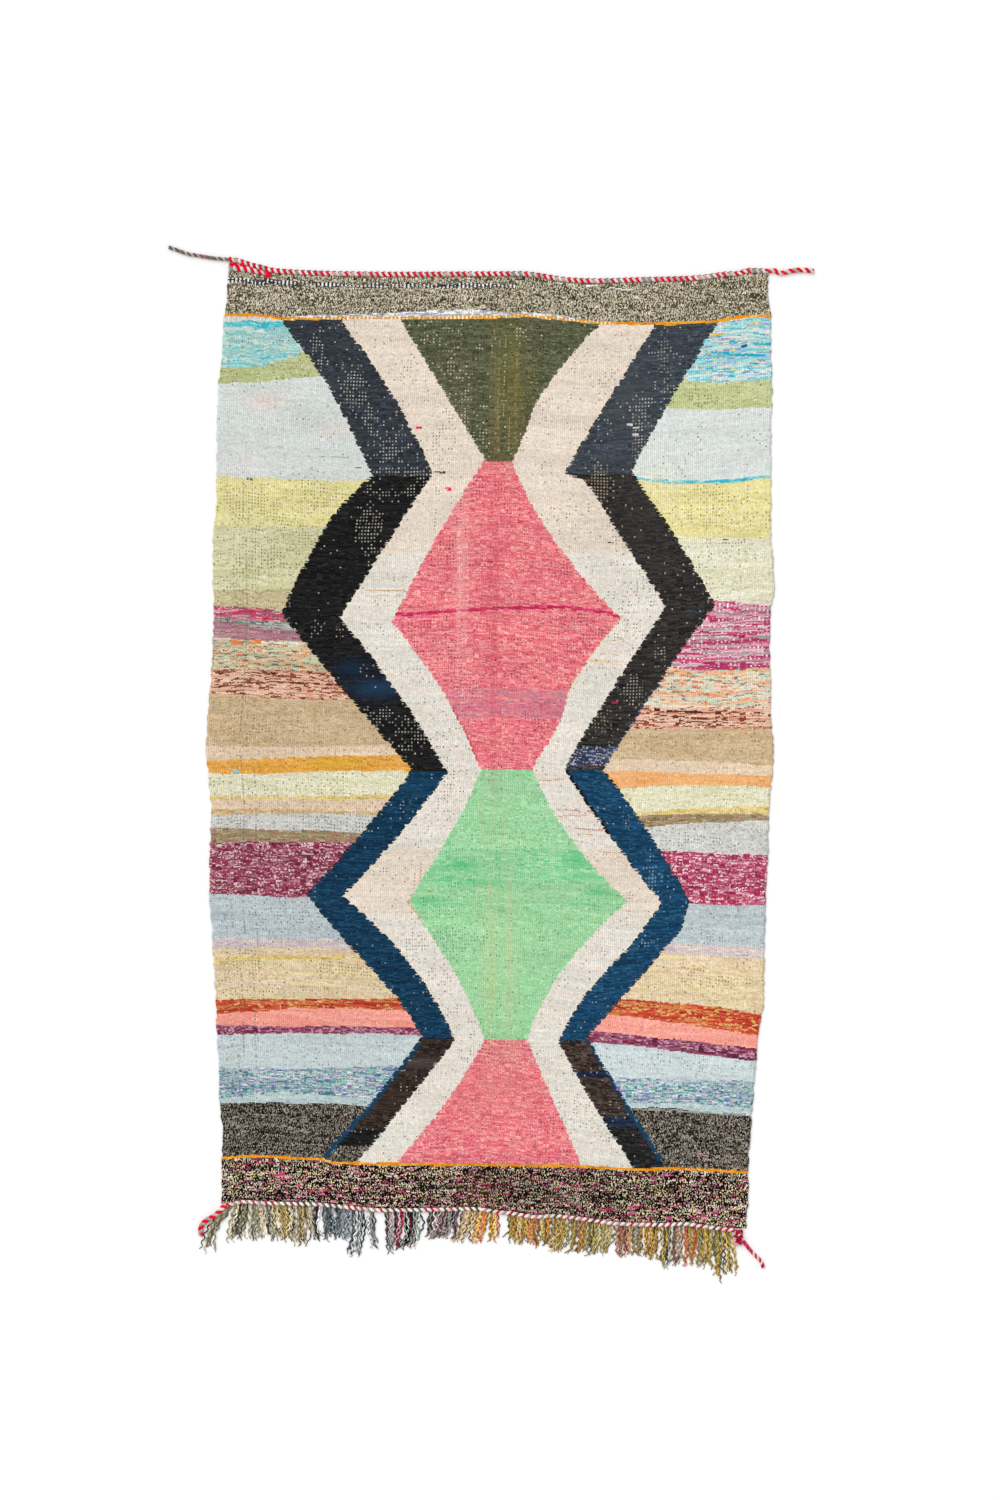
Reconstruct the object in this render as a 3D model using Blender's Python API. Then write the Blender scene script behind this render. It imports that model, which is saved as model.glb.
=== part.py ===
"""A flat-woven rag rug, lying face up on a floor.

The rug is one woven cloth. A two-strand cord is twined along its head and its
foot, a knotted fringe of cut warps hangs from the foot, and the ends of the
cords lie loose at the four corners.  X runs across the rug, Y from the fringed
foot to the head, and Z is up.  Sizes are in metres, and the tables in
millimetres, measured from the middle of the woven field.
"""

import math
import random

import bmesh
import bpy
import numpy as np
from mathutils import Vector

MM = 0.001
GAP = 0.5 * MM  # between neighbouring pieces

# The woven cloth.
CLOTH_THICK = 5.0 * MM
EDGE_ROUND = 1.2 * MM
SELVEDGE_STEP = 20.0 * MM  # spacing of the outline's points along a selvedge
END_STEP = 10.0 * MM  # and along the head and the foot, beside the cords
SELVEDGE_BUMP = 1.4 * MM  # how far the turned wefts push the edge in and out

# The cords: width across, height off the floor, and length of one raised twist.
HEAD_CORD = {"width": 12.0 * MM, "height": 8.0 * MM, "twist": 15.5 * MM}
START_CORD = {"width": 19.0 * MM, "end_width": 9.0 * MM, "height": 9.0 * MM, "twist": 18.0 * MM}
FOOT_CORD = {"width": 10.0 * MM, "height": 7.5 * MM, "twist": 20.0 * MM}
STEPS_PER_TWIST = 3
LOBE = 0.2  # how far the two strands stand out of the cord, as a share of its radius
CORD_FOOTING = 0.3  # half the width that lies flat on the floor, as a share of the cord's
CURVE_SAMPLES = 12  # between two rows of a table, before the points are spaced evenly

# The fringe: the strip that its roots are fused into, and its locks.
STRIP_WIDTH = 4.0 * MM
LOCK_PITCH = 7.5 * MM
LOCK_SHARE = 0.72  # width of a lock at its root, as a share of the pitch
LOCK_TIP_SHARE = 0.55
SHORTEST_LOCK = 0.94  # share of the bunch's length
LOCK_HEIGHT = 4.5 * MM
LOCK_TIP_HEIGHT = 2.5 * MM
LOCK_STEPS = 3

# The foot corner's red knot: half its size across, up and off the floor.
FOOT_KNOT_SIZE = (14.0 * MM, 21.0 * MM, 7.0 * MM)
FOOT_KNOT_AT = (620.0, -1230.0)
KNOT_SEGMENTS = 12
KNOT_RINGS = 8
KNOT_LOBES = 4  # turns of yarn that show round the knot
KNOT_DIP = 0.1  # how far the yarn dips between them, as a share of the knot's size
KNOT_FLAT = 0.8  # height below the knot's middle where it is pressed flat, as a share

# Edges of the cloth.  Columns: up, left selvedge, right selvedge.
SELVEDGES = (
    (1190.0, -655.0, 695.0),
    (1112.5, -657.5, 695.0),
    (1067.5, -665.0, 702.5),
    (977.5, -670.0, 702.5),
    (887.5, -680.0, 705.0),
    (752.5, -682.5, 702.5),
    (572.5, -685.0, 702.5),
    (527.5, -692.5, 702.5),
    (392.5, -692.5, 712.5),
    (347.5, -690.0, 702.5),
    (257.5, -692.5, 697.5),
    (167.5, -697.5, 702.5),
    (77.5, -705.0, 700.0),
    (-12.5, -710.0, 710.0),
    (-57.5, -705.0, 707.5),
    (-147.5, -697.5, 697.5),
    (-282.5, -700.0, 695.0),
    (-372.5, -702.5, 690.0),
    (-462.5, -695.0, 687.5),
    (-552.5, -690.0, 685.0),
    (-642.5, -685.0, 685.0),
    (-732.5, -682.5, 670.0),
    (-822.5, -677.5, 662.5),
    (-912.5, -675.0, 655.0),
    (-957.5, -667.5, 652.5),
    (-1047.5, -670.0, 645.0),
    (-1145.0, -670.0, 645.0),
    (-1230.0, -668.0, 636.0),
)

# Middle lines of the cords along the cloth's ends.  Columns: across, up.
HEAD_LINE = (
    (-653.0, 1213.5),
    (-625.0, 1209.0),
    (-597.5, 1200.0),
    (-570.0, 1193.5),
    (-527.5, 1184.5),
    (-400.0, 1178.5),
    (-225.0, 1176.5),
    (25.0, 1177.5),
    (100.0, 1176.5),
    (192.5, 1163.0),
    (275.0, 1160.0),
    (360.0, 1162.5),
    (475.0, 1165.5),
    (530.0, 1169.0),
    (585.0, 1176.5),
    (620.0, 1178.5),
    (645.0, 1185.5),
    (690.0, 1184.5),
)
START_LINE = (
    (-652.0, 1193.5),
    (-630.0, 1192.5),
    (-610.0, 1189.5),
    (-590.0, 1185.0),
    (-570.0, 1180.5),
    (-555.0, 1178.0),
)
FOOT_LINE = (
    (-657.5, -1151.0),
    (-617.5, -1142.5),
    (-560.0, -1146.0),
    (-442.5, -1148.5),
    (-382.5, -1153.5),
    (-317.5, -1160.0),
    (-255.0, -1163.5),
    (-90.0, -1161.0),
    (-35.0, -1160.0),
    (20.0, -1167.5),
    (62.5, -1172.5),
    (112.5, -1180.0),
    (157.5, -1177.5),
    (212.5, -1182.5),
    (270.0, -1191.0),
    (327.5, -1197.5),
    (435.0, -1200.0),
    (487.5, -1197.5),
    (540.0, -1205.0),
    (580.0, -1209.5),
    (611.5, -1213.5),
)

# Loose cord ends at the corners.  Columns: across, up.
TAILS = {
    "head_left_tail": {
        "width": 8.0 * MM,
        "height": 7.0 * MM,
        "twist": 16.0 * MM,
        "line": ((-653.6, 1213.6), (-685.0, 1216.5), (-704.0, 1219.0), (-729.0, 1223.5),
                 (-752.0, 1227.0), (-771.0, 1233.0), (-787.0, 1239.0), (-803.0, 1244.5)),
    },
    "head_right_tail": {
        "width": 11.0 * MM,
        "height": 8.0 * MM,
        "twist": 20.0 * MM,
        "line": ((691.5, 1184.4), (710.0, 1186.0), (727.0, 1179.5), (750.0, 1184.5),
                 (774.0, 1187.5), (794.0, 1186.5), (809.0, 1184.5)),
    },
    "foot_left_tail": {
        "width": 12.0 * MM,
        "height": 9.0 * MM,
        "twist": 20.0 * MM,
        "line": ((-659.4, -1151.7), (-668.0, -1156.5), (-680.0, -1170.0), (-693.0, -1180.0),
                 (-707.0, -1187.5), (-719.0, -1198.5), (-723.0, -1210.0), (-722.0, -1226.0)),
    },
    "foot_right_tail": {
        "width": 8.0 * MM,
        "height": 7.0 * MM,
        "twist": 15.0 * MM,
        "line": ((633.3, -1240.2), (649.0, -1261.0), (663.0, -1276.0), (677.0, -1290.0),
                 (683.0, -1306.0)),
    },
}

# Bunches of the fringe.  Columns: root from, root to, tips from, tips to, how far
# up the tips reach, and how far the middle of the bunch bows to the right.
BUNCHES = (
    (-653.0, -639.0, -722.0, -684.0, -1280.0, -16.0),
    (-637.0, -622.0, -657.0, -640.0, -1248.0, 0.0),
    (-619.0, -604.0, -634.0, -620.0, -1240.0, 2.0),
    (-601.0, -586.0, -603.0, -593.0, -1245.0, 0.0),
    (-584.0, -568.0, -584.0, -574.0, -1236.0, 3.0),
    (-565.0, -539.0, -548.0, -533.0, -1245.0, 0.0),
    (-536.0, -489.0, -522.0, -500.0, -1245.0, 5.0),
    (-484.0, -456.0, -491.0, -470.0, -1260.0, 4.0),
    (-452.0, -423.0, -449.0, -427.0, -1243.0, -4.0),
    (-418.0, -396.0, -412.0, -397.0, -1244.0, 0.0),
    (-392.0, -371.0, -390.0, -375.0, -1240.0, 3.0),
    (-366.0, -351.0, -361.0, -351.0, -1242.0, 0.0),
    (-346.0, -316.0, -350.0, -329.0, -1282.0, 4.0),
    (-304.0, -290.0, -290.0, -276.0, -1262.0, -7.0),
    (-264.0, -246.0, -258.0, -245.0, -1275.0, 0.0),
    (-242.0, -218.0, -242.0, -227.0, -1267.0, 3.0),
    (-215.0, -173.0, -219.0, -188.0, -1265.0, 6.0),
    (-152.0, -74.0, -152.0, -92.0, -1237.0, -3.0),
    (-69.0, -33.0, -88.0, -57.0, -1250.0, 3.0),
    (-29.0, -3.0, -52.0, -22.0, -1249.0, 2.0),
    (1.0, 20.0, -8.0, 15.0, -1247.0, 3.0),
    (43.0, 69.0, 50.0, 68.0, -1250.0, -2.0),
    (73.0, 99.0, 72.0, 96.0, -1250.0, 2.0),
    (103.0, 125.0, 105.0, 124.0, -1260.0, -3.0),
    (128.0, 155.0, 131.0, 152.0, -1255.0, 3.0),
    (159.0, 189.0, 156.0, 176.0, -1271.0, 6.0),
    (195.0, 219.0, 193.0, 214.0, -1273.0, 3.0),
    (223.0, 247.0, 220.0, 239.0, -1280.0, 4.0),
    (251.0, 279.0, 247.0, 270.0, -1282.0, 3.0),
    (285.0, 312.0, 286.0, 298.0, -1272.0, 0.0),
    (319.0, 347.0, 320.0, 341.0, -1287.0, -2.0),
    (352.0, 382.0, 351.0, 376.0, -1283.0, 0.0),
    (386.0, 425.0, 382.0, 418.0, -1290.0, 3.0),
    (429.0, 452.0, 426.0, 443.0, -1312.0, 2.0),
    (460.0, 482.0, 462.0, 483.0, -1312.0, -4.0),
    (486.0, 514.0, 492.0, 512.0, -1307.0, 0.0),
    (518.0, 532.0, 519.0, 531.0, -1307.0, 0.0),
    (535.0, 559.0, 538.0, 557.0, -1315.0, 0.0),
    (562.0, 580.0, 563.0, 581.0, -1348.0, -3.0),
    (583.0, 600.0, 588.0, 620.0, -1332.0, 1.0),
)


def curve_through(rows, step):
    """Points in metres at even steps along a smooth curve through a table's rows."""
    knots = np.array(rows) * MM
    ends = np.vstack([2 * knots[0] - knots[1], knots, 2 * knots[-1] - knots[-2]])
    fine = []
    for a, b, c, d in zip(ends, ends[1:], ends[2:], ends[3:]):
        for t in np.linspace(0.0, 1.0, CURVE_SAMPLES, endpoint=False):
            fine.append(0.5 * (2 * b + (c - a) * t + (2 * a - 5 * b + 4 * c - d) * t**2
                               + (3 * b - a - 3 * c + d) * t**3))
    fine = np.array(fine + [knots[-1]])
    along = np.concatenate([[0.0], np.cumsum(np.hypot(*np.diff(fine, axis=0).T))])
    stops = np.linspace(0.0, along[-1], max(2, round(along[-1] / step) + 1))
    return np.column_stack([np.interp(stops, along, fine[:, axis]) for axis in (0, 1)])


def material(name, rgb, roughness=0.95):
    made = bpy.data.materials.new(name)
    made.use_nodes = True
    shader = made.node_tree.nodes["Principled BSDF"]
    shader.inputs["Base Color"].default_value = (*rgb, 1.0)
    shader.inputs["Roughness"].default_value = roughness
    shader.inputs["Metallic"].default_value = 0.0
    return made


def add_object(name, data, finish):
    made = bpy.data.objects.new(name, data)
    made.data.materials.append(finish)
    collection.objects.link(made)
    made.parent = rug
    return made


def add_mesh(name, shape, finish):
    """The bmesh as an object, with its faces turned outwards and shaded smooth."""
    bmesh.ops.recalc_face_normals(shape, faces=shape.faces)
    mesh = bpy.data.meshes.new(name)
    shape.to_mesh(mesh)
    shape.free()
    mesh.shade_smooth()
    return add_object(name, mesh, finish)


# Cords


def twined_cord(name, path, width, height, twist, finish, end_width=None):
    """Two strands twined together, flat underneath where the cord lies on the floor.

    Each section is a six-sided ring: two corners stay on the floor, and the other
    four stand out where a strand passes, so every half turn raises one twist.
    """
    shape = bmesh.new()
    corners = [math.radians(angle) for angle in (0.0, 60.0, 120.0, 180.0)]
    rings = []
    for index, (x, y) in enumerate(path):
        before, after = path[max(index - 1, 0)], path[min(index + 1, len(path) - 1)]
        run = Vector((*(after - before), 0.0)).normalized()
        side = Vector((run.y, -run.x, 0.0))
        wide = width + ((end_width or width) - width) * index / (len(path) - 1)
        turn = math.pi * index / STEPS_PER_TWIST
        ring = []
        for corner in corners:
            reach = (1 + LOBE * math.cos(2 * (corner - turn))) / (1 + LOBE)
            offset = side * (reach * math.cos(corner) * wide / 2)
            up = height / 2 * (1 + reach * math.sin(corner))
            ring.append(shape.verts.new(Vector((x, y, up)) + offset))
        for share in (-CORD_FOOTING, CORD_FOOTING):
            ring.append(shape.verts.new(Vector((x, y, 0.0)) + side * (share * wide)))
        rings.append(ring)
    for first, second in zip(rings, rings[1:]):
        for k in range(len(first)):
            after = (k + 1) % len(first)
            shape.faces.new((first[k], first[after], second[after], second[k]))
    shape.faces.new(rings[0])
    shape.faces.new(rings[-1])
    return add_mesh(name, shape, finish)


def cord_path(rows, cord):
    return curve_through(rows, cord["twist"] / STEPS_PER_TWIST)


def beside(path, half_width, x):
    """How far up the edge of a cord lies at x, on the side that half_width's sign gives."""
    slope = np.gradient(path[:, 1], path[:, 0])
    edge = path[:, 1] + half_width * np.hypot(1.0, slope)
    return float(np.interp(x, path[:, 0], edge))


# Cloth


def woven_cloth():
    """One flat outline: two uneven selvedges, and ends that follow their cords."""
    sway = random.Random(4)
    up, left, right = (np.array(column) * MM for column in zip(*SELVEDGES))

    def head(x):
        under_cord = beside(head_path, -HEAD_CORD["width"] / 2, x)
        if x > start_path[-1][0] + GAP:
            return under_cord - GAP
        share = (x - start_path[0][0]) / (start_path[-1][0] - start_path[0][0])
        wide = START_CORD["width"] + share * (START_CORD["end_width"] - START_CORD["width"])
        return min(under_cord, beside(start_path, -wide / 2, x)) - GAP

    def foot(x):
        return beside(foot_path, FOOT_CORD["width"] / 2, x) + GAP

    def selvedge(edge, end):
        """Points up one selvedge, between the foot and the head at x = end."""
        count = round((head(end) - foot(end)) / SELVEDGE_STEP)
        points = []
        for y in np.linspace(foot(end), head(end), count + 1)[1:-1]:
            x = float(np.interp(y, up[::-1], edge[::-1]))
            points.append((x + sway.uniform(-1, 1) * SELVEDGE_BUMP, y))
        return points

    foot_ends = (left[-1], right[-1])
    head_ends = (left[0], right[0])
    columns = round((head_ends[1] - head_ends[0]) / END_STEP)
    outline = [(x, foot(x)) for x in np.linspace(*foot_ends, columns + 1)]
    outline += selvedge(right, right[-1])
    outline += [(x, head(x)) for x in np.linspace(*head_ends[::-1], columns + 1)]
    outline += selvedge(left, left[0])[::-1]

    curve = bpy.data.curves.new("woven_cloth", "CURVE")
    curve.dimensions = "2D"
    curve.fill_mode = "BOTH"
    curve.bevel_depth = EDGE_ROUND
    curve.bevel_resolution = 0
    curve.offset = -EDGE_ROUND
    curve.extrude = CLOTH_THICK / 2 - EDGE_ROUND
    spline = curve.splines.new("POLY")
    spline.points.add(len(outline) - 1)
    for point, (x, y) in zip(spline.points, outline):
        point.co = (x, y, 0.0, 1.0)
    spline.use_cyclic_u = True
    cloth = add_object("woven_cloth", curve, material("woven_rag_yarn", (0.55, 0.47, 0.40)))
    cloth.location.z = CLOTH_THICK / 2
    return cloth


# Fringe


def fringe_locks():
    """One row per lock: the x of its root's two sides, then its bunch and its share of it."""
    locks = []
    for bunch in BUNCHES:
        root_from, root_to = bunch[0] * MM, bunch[1] * MM
        count = max(2, round((root_to - root_from) / LOCK_PITCH))
        pitch = (root_to - root_from) / count
        for index in range(count):
            middle = root_from + (index + 0.5) * pitch
            half = LOCK_SHARE * pitch / 2
            locks.append((middle - half, middle + half, bunch, (index + 0.5) / count, count))
    return locks


def fringe():
    """A narrow strip along the foot cord, its front face drawn out into level locks."""
    lengths = random.Random(9)
    locks = fringe_locks()
    breaks = [x for lock in locks for x in lock[:2]]
    shape = bmesh.new()
    bmesh.ops.create_grid(shape, x_segments=len(breaks) - 1, y_segments=1, size=0.5)
    columns = sorted({round(vert.co.x, 5) for vert in shape.verts})
    for vert in shape.verts:
        x = breaks[columns.index(round(vert.co.x, 5))]
        back = beside(foot_path, -FOOT_CORD["width"] / 2, x) - GAP
        vert.co = (x, back if vert.co.y > 0 else back - STRIP_WIDTH, 0.0)
    raised = bmesh.ops.extrude_face_region(shape, geom=shape.faces[:], use_keep_orig=True)
    for vert in raised["geom"]:
        if isinstance(vert, bmesh.types.BMVert):
            vert.co.z = LOCK_HEIGHT
    bmesh.ops.recalc_face_normals(shape, faces=shape.faces)
    faces_front = math.cos(math.radians(45.0))
    fronts = sorted((face for face in shape.faces if face.normal.y < -faces_front),
                    key=lambda face: face.calc_center_median().x)
    for face, (_, _, bunch, share, count) in zip(fronts[::2], locks):
        draw_out(shape, face, bunch, share, count, lengths.uniform(SHORTEST_LOCK, 1.0))
    return add_mesh("fringe", shape, material("cut_warp_yarn", (0.33, 0.27, 0.15)))


def draw_out(shape, face, bunch, share, count, length):
    """Draws one front face of the strip out along its lock, resting on the floor."""
    root_from, root_to, tips_from, tips_to, tips_up, bow = (value * MM for value in bunch)
    root = face.calc_center_median()
    tip_x = tips_from + share * (tips_to - tips_from)
    root_half = LOCK_SHARE * (root_to - root_from) / count / 2
    tip_half = LOCK_TIP_SHARE * (tips_to - tips_from) / count / 2
    for step in range(1, LOCK_STEPS + 1):
        t = step / LOCK_STEPS
        face = bmesh.ops.extrude_discrete_faces(shape, faces=[face])["faces"][0]
        x = root.x + (tip_x - root.x) * t + bow * math.sin(math.pi * t)
        y = root.y + (tips_up - root.y) * t * length
        half = root_half + (tip_half - root_half) * t
        high = LOCK_HEIGHT + (LOCK_TIP_HEIGHT - LOCK_HEIGHT) * t
        middle = face.calc_center_median()
        for vert in face.verts:
            vert.co = (
                x + math.copysign(half, vert.co.x - middle.x),
                y,
                high if vert.co.z > middle.z else 0.0,
            )


def foot_knot():
    """The red knot that ties off the foot cord, pressed flat against the floor."""
    shape = bmesh.new()
    bmesh.ops.create_uvsphere(shape, u_segments=KNOT_SEGMENTS, v_segments=KNOT_RINGS, radius=1.0)
    half_x, half_y, half_z = FOOT_KNOT_SIZE
    for vert in shape.verts:
        angle = math.atan2(vert.co.y, vert.co.x)
        lump = 1 - KNOT_DIP * (1 + math.sin(KNOT_LOBES * angle)) / 2
        vert.co = (
            FOOT_KNOT_AT[0] * MM + vert.co.x * half_x * lump,
            FOOT_KNOT_AT[1] * MM + vert.co.y * half_y * lump,
            (max(vert.co.z, -KNOT_FLAT) + KNOT_FLAT) * half_z,
        )
    return add_mesh("foot_knot", shape, material("red_knot_yarn", (0.60, 0.02, 0.06)))


for leftover in list(bpy.data.objects):
    bpy.data.objects.remove(leftover)
collection = bpy.data.collections.new("rag_rug")
bpy.context.scene.collection.children.link(collection)
rug = bpy.data.objects.new("rag_rug_origin", None)
collection.objects.link(rug)

head_path = cord_path(HEAD_LINE, HEAD_CORD)
start_path = cord_path(START_LINE, START_CORD)
foot_path = cord_path(FOOT_LINE, FOOT_CORD)
red_and_white = material("red_and_white_cord", (0.55, 0.20, 0.20))
grey_brown = material("grey_brown_cord", (0.20, 0.14, 0.12))

pieces = [
    woven_cloth(),
    twined_cord("head_cord", head_path, HEAD_CORD["width"], HEAD_CORD["height"],
                HEAD_CORD["twist"], red_and_white),
    twined_cord("head_start_cord", start_path, START_CORD["width"], START_CORD["height"],
                START_CORD["twist"], red_and_white, START_CORD["end_width"]),
    twined_cord("foot_cord", foot_path, FOOT_CORD["width"], FOOT_CORD["height"],
                FOOT_CORD["twist"], red_and_white),
    fringe(),
    foot_knot(),
]
for tail, size in TAILS.items():
    finish = grey_brown if tail == "head_left_tail" else red_and_white
    twined_cord(tail, cord_path(size["line"], size), size["width"], size["height"],
                size["twist"], finish)

# The origin is on the floor, under the middle of the rug without its loose cord ends.
bpy.context.view_layer.update()
corners = np.array([piece.matrix_world @ Vector(corner)
                    for piece in pieces for corner in piece.bound_box])
rug.location = (*(-(corners.min(axis=0) + corners.max(axis=0))[:2] / 2), 0.0)
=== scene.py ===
"""A flat-woven rag rug lying face up on a pale studio floor.

The rug is one cloth of rag and wool yarn, beaten down hard over thin warps. A
cord of two yarns is twined along its head and its foot, the cut warps hang from
the foot as a fringe, and the ends of the cords lie loose at the corners.  The
sections follow the rug as it is made.  Tables are in millimetres from the middle
of the woven field: across to the right, and up towards the head.
"""

import math

import bpy
import numpy as np
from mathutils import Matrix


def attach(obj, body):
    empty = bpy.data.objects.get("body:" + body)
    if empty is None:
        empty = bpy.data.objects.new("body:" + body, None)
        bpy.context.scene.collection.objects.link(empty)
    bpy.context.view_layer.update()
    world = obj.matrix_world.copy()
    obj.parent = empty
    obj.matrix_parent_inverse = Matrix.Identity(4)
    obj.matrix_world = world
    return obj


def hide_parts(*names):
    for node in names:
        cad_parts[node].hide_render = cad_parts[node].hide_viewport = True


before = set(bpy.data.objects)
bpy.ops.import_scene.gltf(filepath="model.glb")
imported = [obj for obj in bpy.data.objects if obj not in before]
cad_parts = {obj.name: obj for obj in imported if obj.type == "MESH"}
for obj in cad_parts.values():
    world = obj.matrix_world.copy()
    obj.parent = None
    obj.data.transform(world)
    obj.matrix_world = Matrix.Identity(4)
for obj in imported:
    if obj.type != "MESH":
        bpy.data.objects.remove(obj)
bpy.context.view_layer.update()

# ---------------------------------------------------------------------------
# The woven cloth.  Weft-faced plain weave: thick rag wefts, in many colours,
# packed over thin warps until only the wefts show.  Colours meet in stepped,
# interlocked edges, and the wefts turn back at two uneven selvedges.

MM = 0.001
FIELD_MIDDLE = (2.0714, 62.568)  # where the tables' zero lies in the model

WARPS = 276
PICKS = 747  # rows of weft that show
WARP_PITCH = 5.0
PICK_PITCH = 3.15
COLUMN = 3  # warps to one column of faces
UNDER_ROW = 3  # picks to one row of faces on the underside
CLOTH_THICK = 5.0
SHOULDER_THICK = 4.7  # one warp or pick in from the edges
EDGE_THICK = 3.4  # where the wefts turn
UNDER_LIFT = 0.9  # of the underside at the edges, off the floor
SELVEDGE_BUMP = 2.2  # how far the turned wefts push the edge in and out
RIPPLE = 0.6  # how unevenly the cloth lies, up and down
FLAT_RIM = 6  # warps or picks from the edges to the full ripple
WAVER = 1.7  # how many picks a row wanders up and down

HEAD_CORD = {"width": 12.0, "height": 8.0, "twist": 15.5}
START_CORD = {"width": 19.0, "end_width": 9.0, "height": 9.0, "twist": 18.0}
FOOT_CORD = {"width": 10.0, "height": 7.5, "twist": 16.0}
CORD_GAP = 0.5  # between the cloth and its cords
EDGE_STEPS = 3  # points to one turn of a cord, where the cloth meets it
CURVE_SAMPLES = 12  # points worked out from one row of a line's table to the next

ROUGH_SIDES = (-690.0, 695.0)  # the selvedges, before they are worked out row by row
SETTLE_PASSES = 4
# Columns: up, left selvedge, right selvedge.
SELVEDGES = (
    (1190.0, -655.0, 695.0), (1112.5, -657.5, 695.0), (1067.5, -665.0, 702.5),
    (977.5, -670.0, 702.5), (887.5, -680.0, 705.0), (752.5, -682.5, 702.5),
    (572.5, -685.0, 702.5), (527.5, -692.5, 702.5), (392.5, -692.5, 712.5),
    (347.5, -690.0, 702.5), (257.5, -692.5, 697.5), (167.5, -697.5, 702.5),
    (77.5, -705.0, 700.0), (-12.5, -710.0, 710.0), (-57.5, -705.0, 707.5),
    (-147.5, -697.5, 697.5), (-282.5, -700.0, 695.0), (-372.5, -702.5, 690.0),
    (-462.5, -695.0, 687.5), (-552.5, -690.0, 685.0), (-642.5, -685.0, 685.0),
    (-732.5, -682.5, 670.0), (-822.5, -677.5, 662.5), (-912.5, -675.0, 655.0),
    (-957.5, -667.5, 652.5), (-1047.5, -670.0, 645.0), (-1145.0, -670.0, 645.0),
    (-1230.0, -668.0, 636.0),
)

# Middle lines of the cords.  Columns: across, up.
HEAD_LINE = (
    (-653.0, 1213.5), (-625.0, 1209.0), (-597.5, 1200.0), (-570.0, 1193.5),
    (-527.5, 1184.5), (-400.0, 1178.5), (-225.0, 1176.5), (25.0, 1177.5),
    (100.0, 1176.5), (192.5, 1163.0), (275.0, 1160.0), (360.0, 1162.5),
    (475.0, 1165.5), (530.0, 1169.0), (585.0, 1176.5), (620.0, 1178.5),
    (645.0, 1185.5), (690.0, 1184.5),
)
START_LINE = (
    (-652.0, 1193.5), (-630.0, 1192.5), (-610.0, 1189.5), (-590.0, 1185.0),
    (-570.0, 1180.5), (-555.0, 1178.0),
)
FOOT_LINE = (
    (-657.5, -1151.0), (-617.5, -1142.5), (-560.0, -1146.0), (-442.5, -1148.5),
    (-382.5, -1153.5), (-317.5, -1160.0), (-255.0, -1163.5), (-90.0, -1161.0),
    (-35.0, -1160.0), (20.0, -1167.5), (62.5, -1172.5), (112.5, -1180.0),
    (157.5, -1177.5), (212.5, -1182.5), (270.0, -1191.0), (327.5, -1197.5),
    (435.0, -1200.0), (487.5, -1197.5), (540.0, -1205.0), (580.0, -1209.5),
    (611.5, -1213.5),
)

# The weaver's plan: the six edges between the seven zones of the cloth, from the
# left.  Each row is a corner and how far the run below it bows to the right.
EDGES = (
    ((-522.5, 1060, 5), (-400, 887.5, 3), (-295, 672.5, -8), (-410, 550, -3), (-522.5, 330, -5),
     (-195, -62.5, 9), (-460, -372.5, 0), (-355, -500, 12), (-167.5, -727.5, 8),
     (-420, -1027.5, 0)),
    ((-372.5, 1060, 17), (-142.5, 677.5, -3), (-375, 317.5, 16), (-107.5, -70, 10),
     (-367.5, -377.5, 38), (-90, -740, 3), (-327.5, -1037.5, 0)),
    ((-222.5, 1060, 0), (-12.5, 715, -9), (-245, 307.5, 22), (-22.5, -65, 12),
     (-207.5, -392.5, 18), (-12.5, -735, 15), (-237.5, -1047.5, 0)),
    ((272.5, 1047.5, -11), (112.5, 850, 2), (56, 707.5, -33), (330, 317.5, -7), (200, 137.5, 12),
     (105, -57.5, -28), (342.5, -392.5, -38), (92.5, -737.5, 0), (225, -1042.5, 0)),
    ((412.5, 1047.5, -3), (185, 677.5, 0), (235, 665, 0), (440, 345, -6), (185, -60, -8),
     (430, -395, 0), (352.5, -502.5, -20), (172.5, -740, -8), (357.5, -1052.5, 0)),
    ((567.5, 1052.5, -5), (352.5, 685, 8), (562.5, 350, -8), (285, -62.5, 12),
     (497.5, -392.5, 0), (477.5, -462.5, 0), (242.5, -732.5, -2), (430, -1032.5, 0)),
)
TOOTH_PICKS = 5.5  # rows to one tooth of an interlocked edge
TOOTH_WARPS = 40.0  # a stretch of the cloth whose teeth fall in the same rows
TOOTH_DEPTHS = (1.3, -1.2, 0.9, -0.8, 1.2, -1.3)  # to the left, in warps, for the six edges
STEP_SHARE = 0.5  # how far an edge runs in steps, tooth by tooth, and not aslant
PLAN_ENDS = (-1045, 1062)  # how far up the plan starts and ends
# Thin rims along an edge: of another yarn, and in the first two rows of painted
# shade along the dark bands.  Columns: zone, edges, how far up the rim starts and
# ends, colour, width in warps.
BAND_EDGE_SHADE = "2c2719"  # painted shade: a thin dark outline along the dark bands' edges, where their wefts turn over
RIMS = (
    (1, (0, 1), 1100, -735, BAND_EDGE_SHADE, 0.5), (5, (4, 5), 1100, -735, BAND_EDGE_SHADE, 0.5),
    (5, (4,), -60, -225, "1c1512", 1.6), (5, (4,), 600, 300, "2f2a26", 1.0),
    (1, (0,), -745, -880, "163c56", 2.4), (1, (0,), -880, -1030, "17405c", 3.0),
    (5, (5,), -745, -900, "163c58", 1.6), (5, (5,), -900, -1040, "17405c", 2.6),
    (5, (5,), 165, -40, "28385a", 0.8), (3, (3,), 420, 120, "f0dcae", 0.5),
    (3, (2,), 100, -40, "c8404e", 0.8), (3, (2,), -380, -440, "e08860", 0.5),
)

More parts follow.
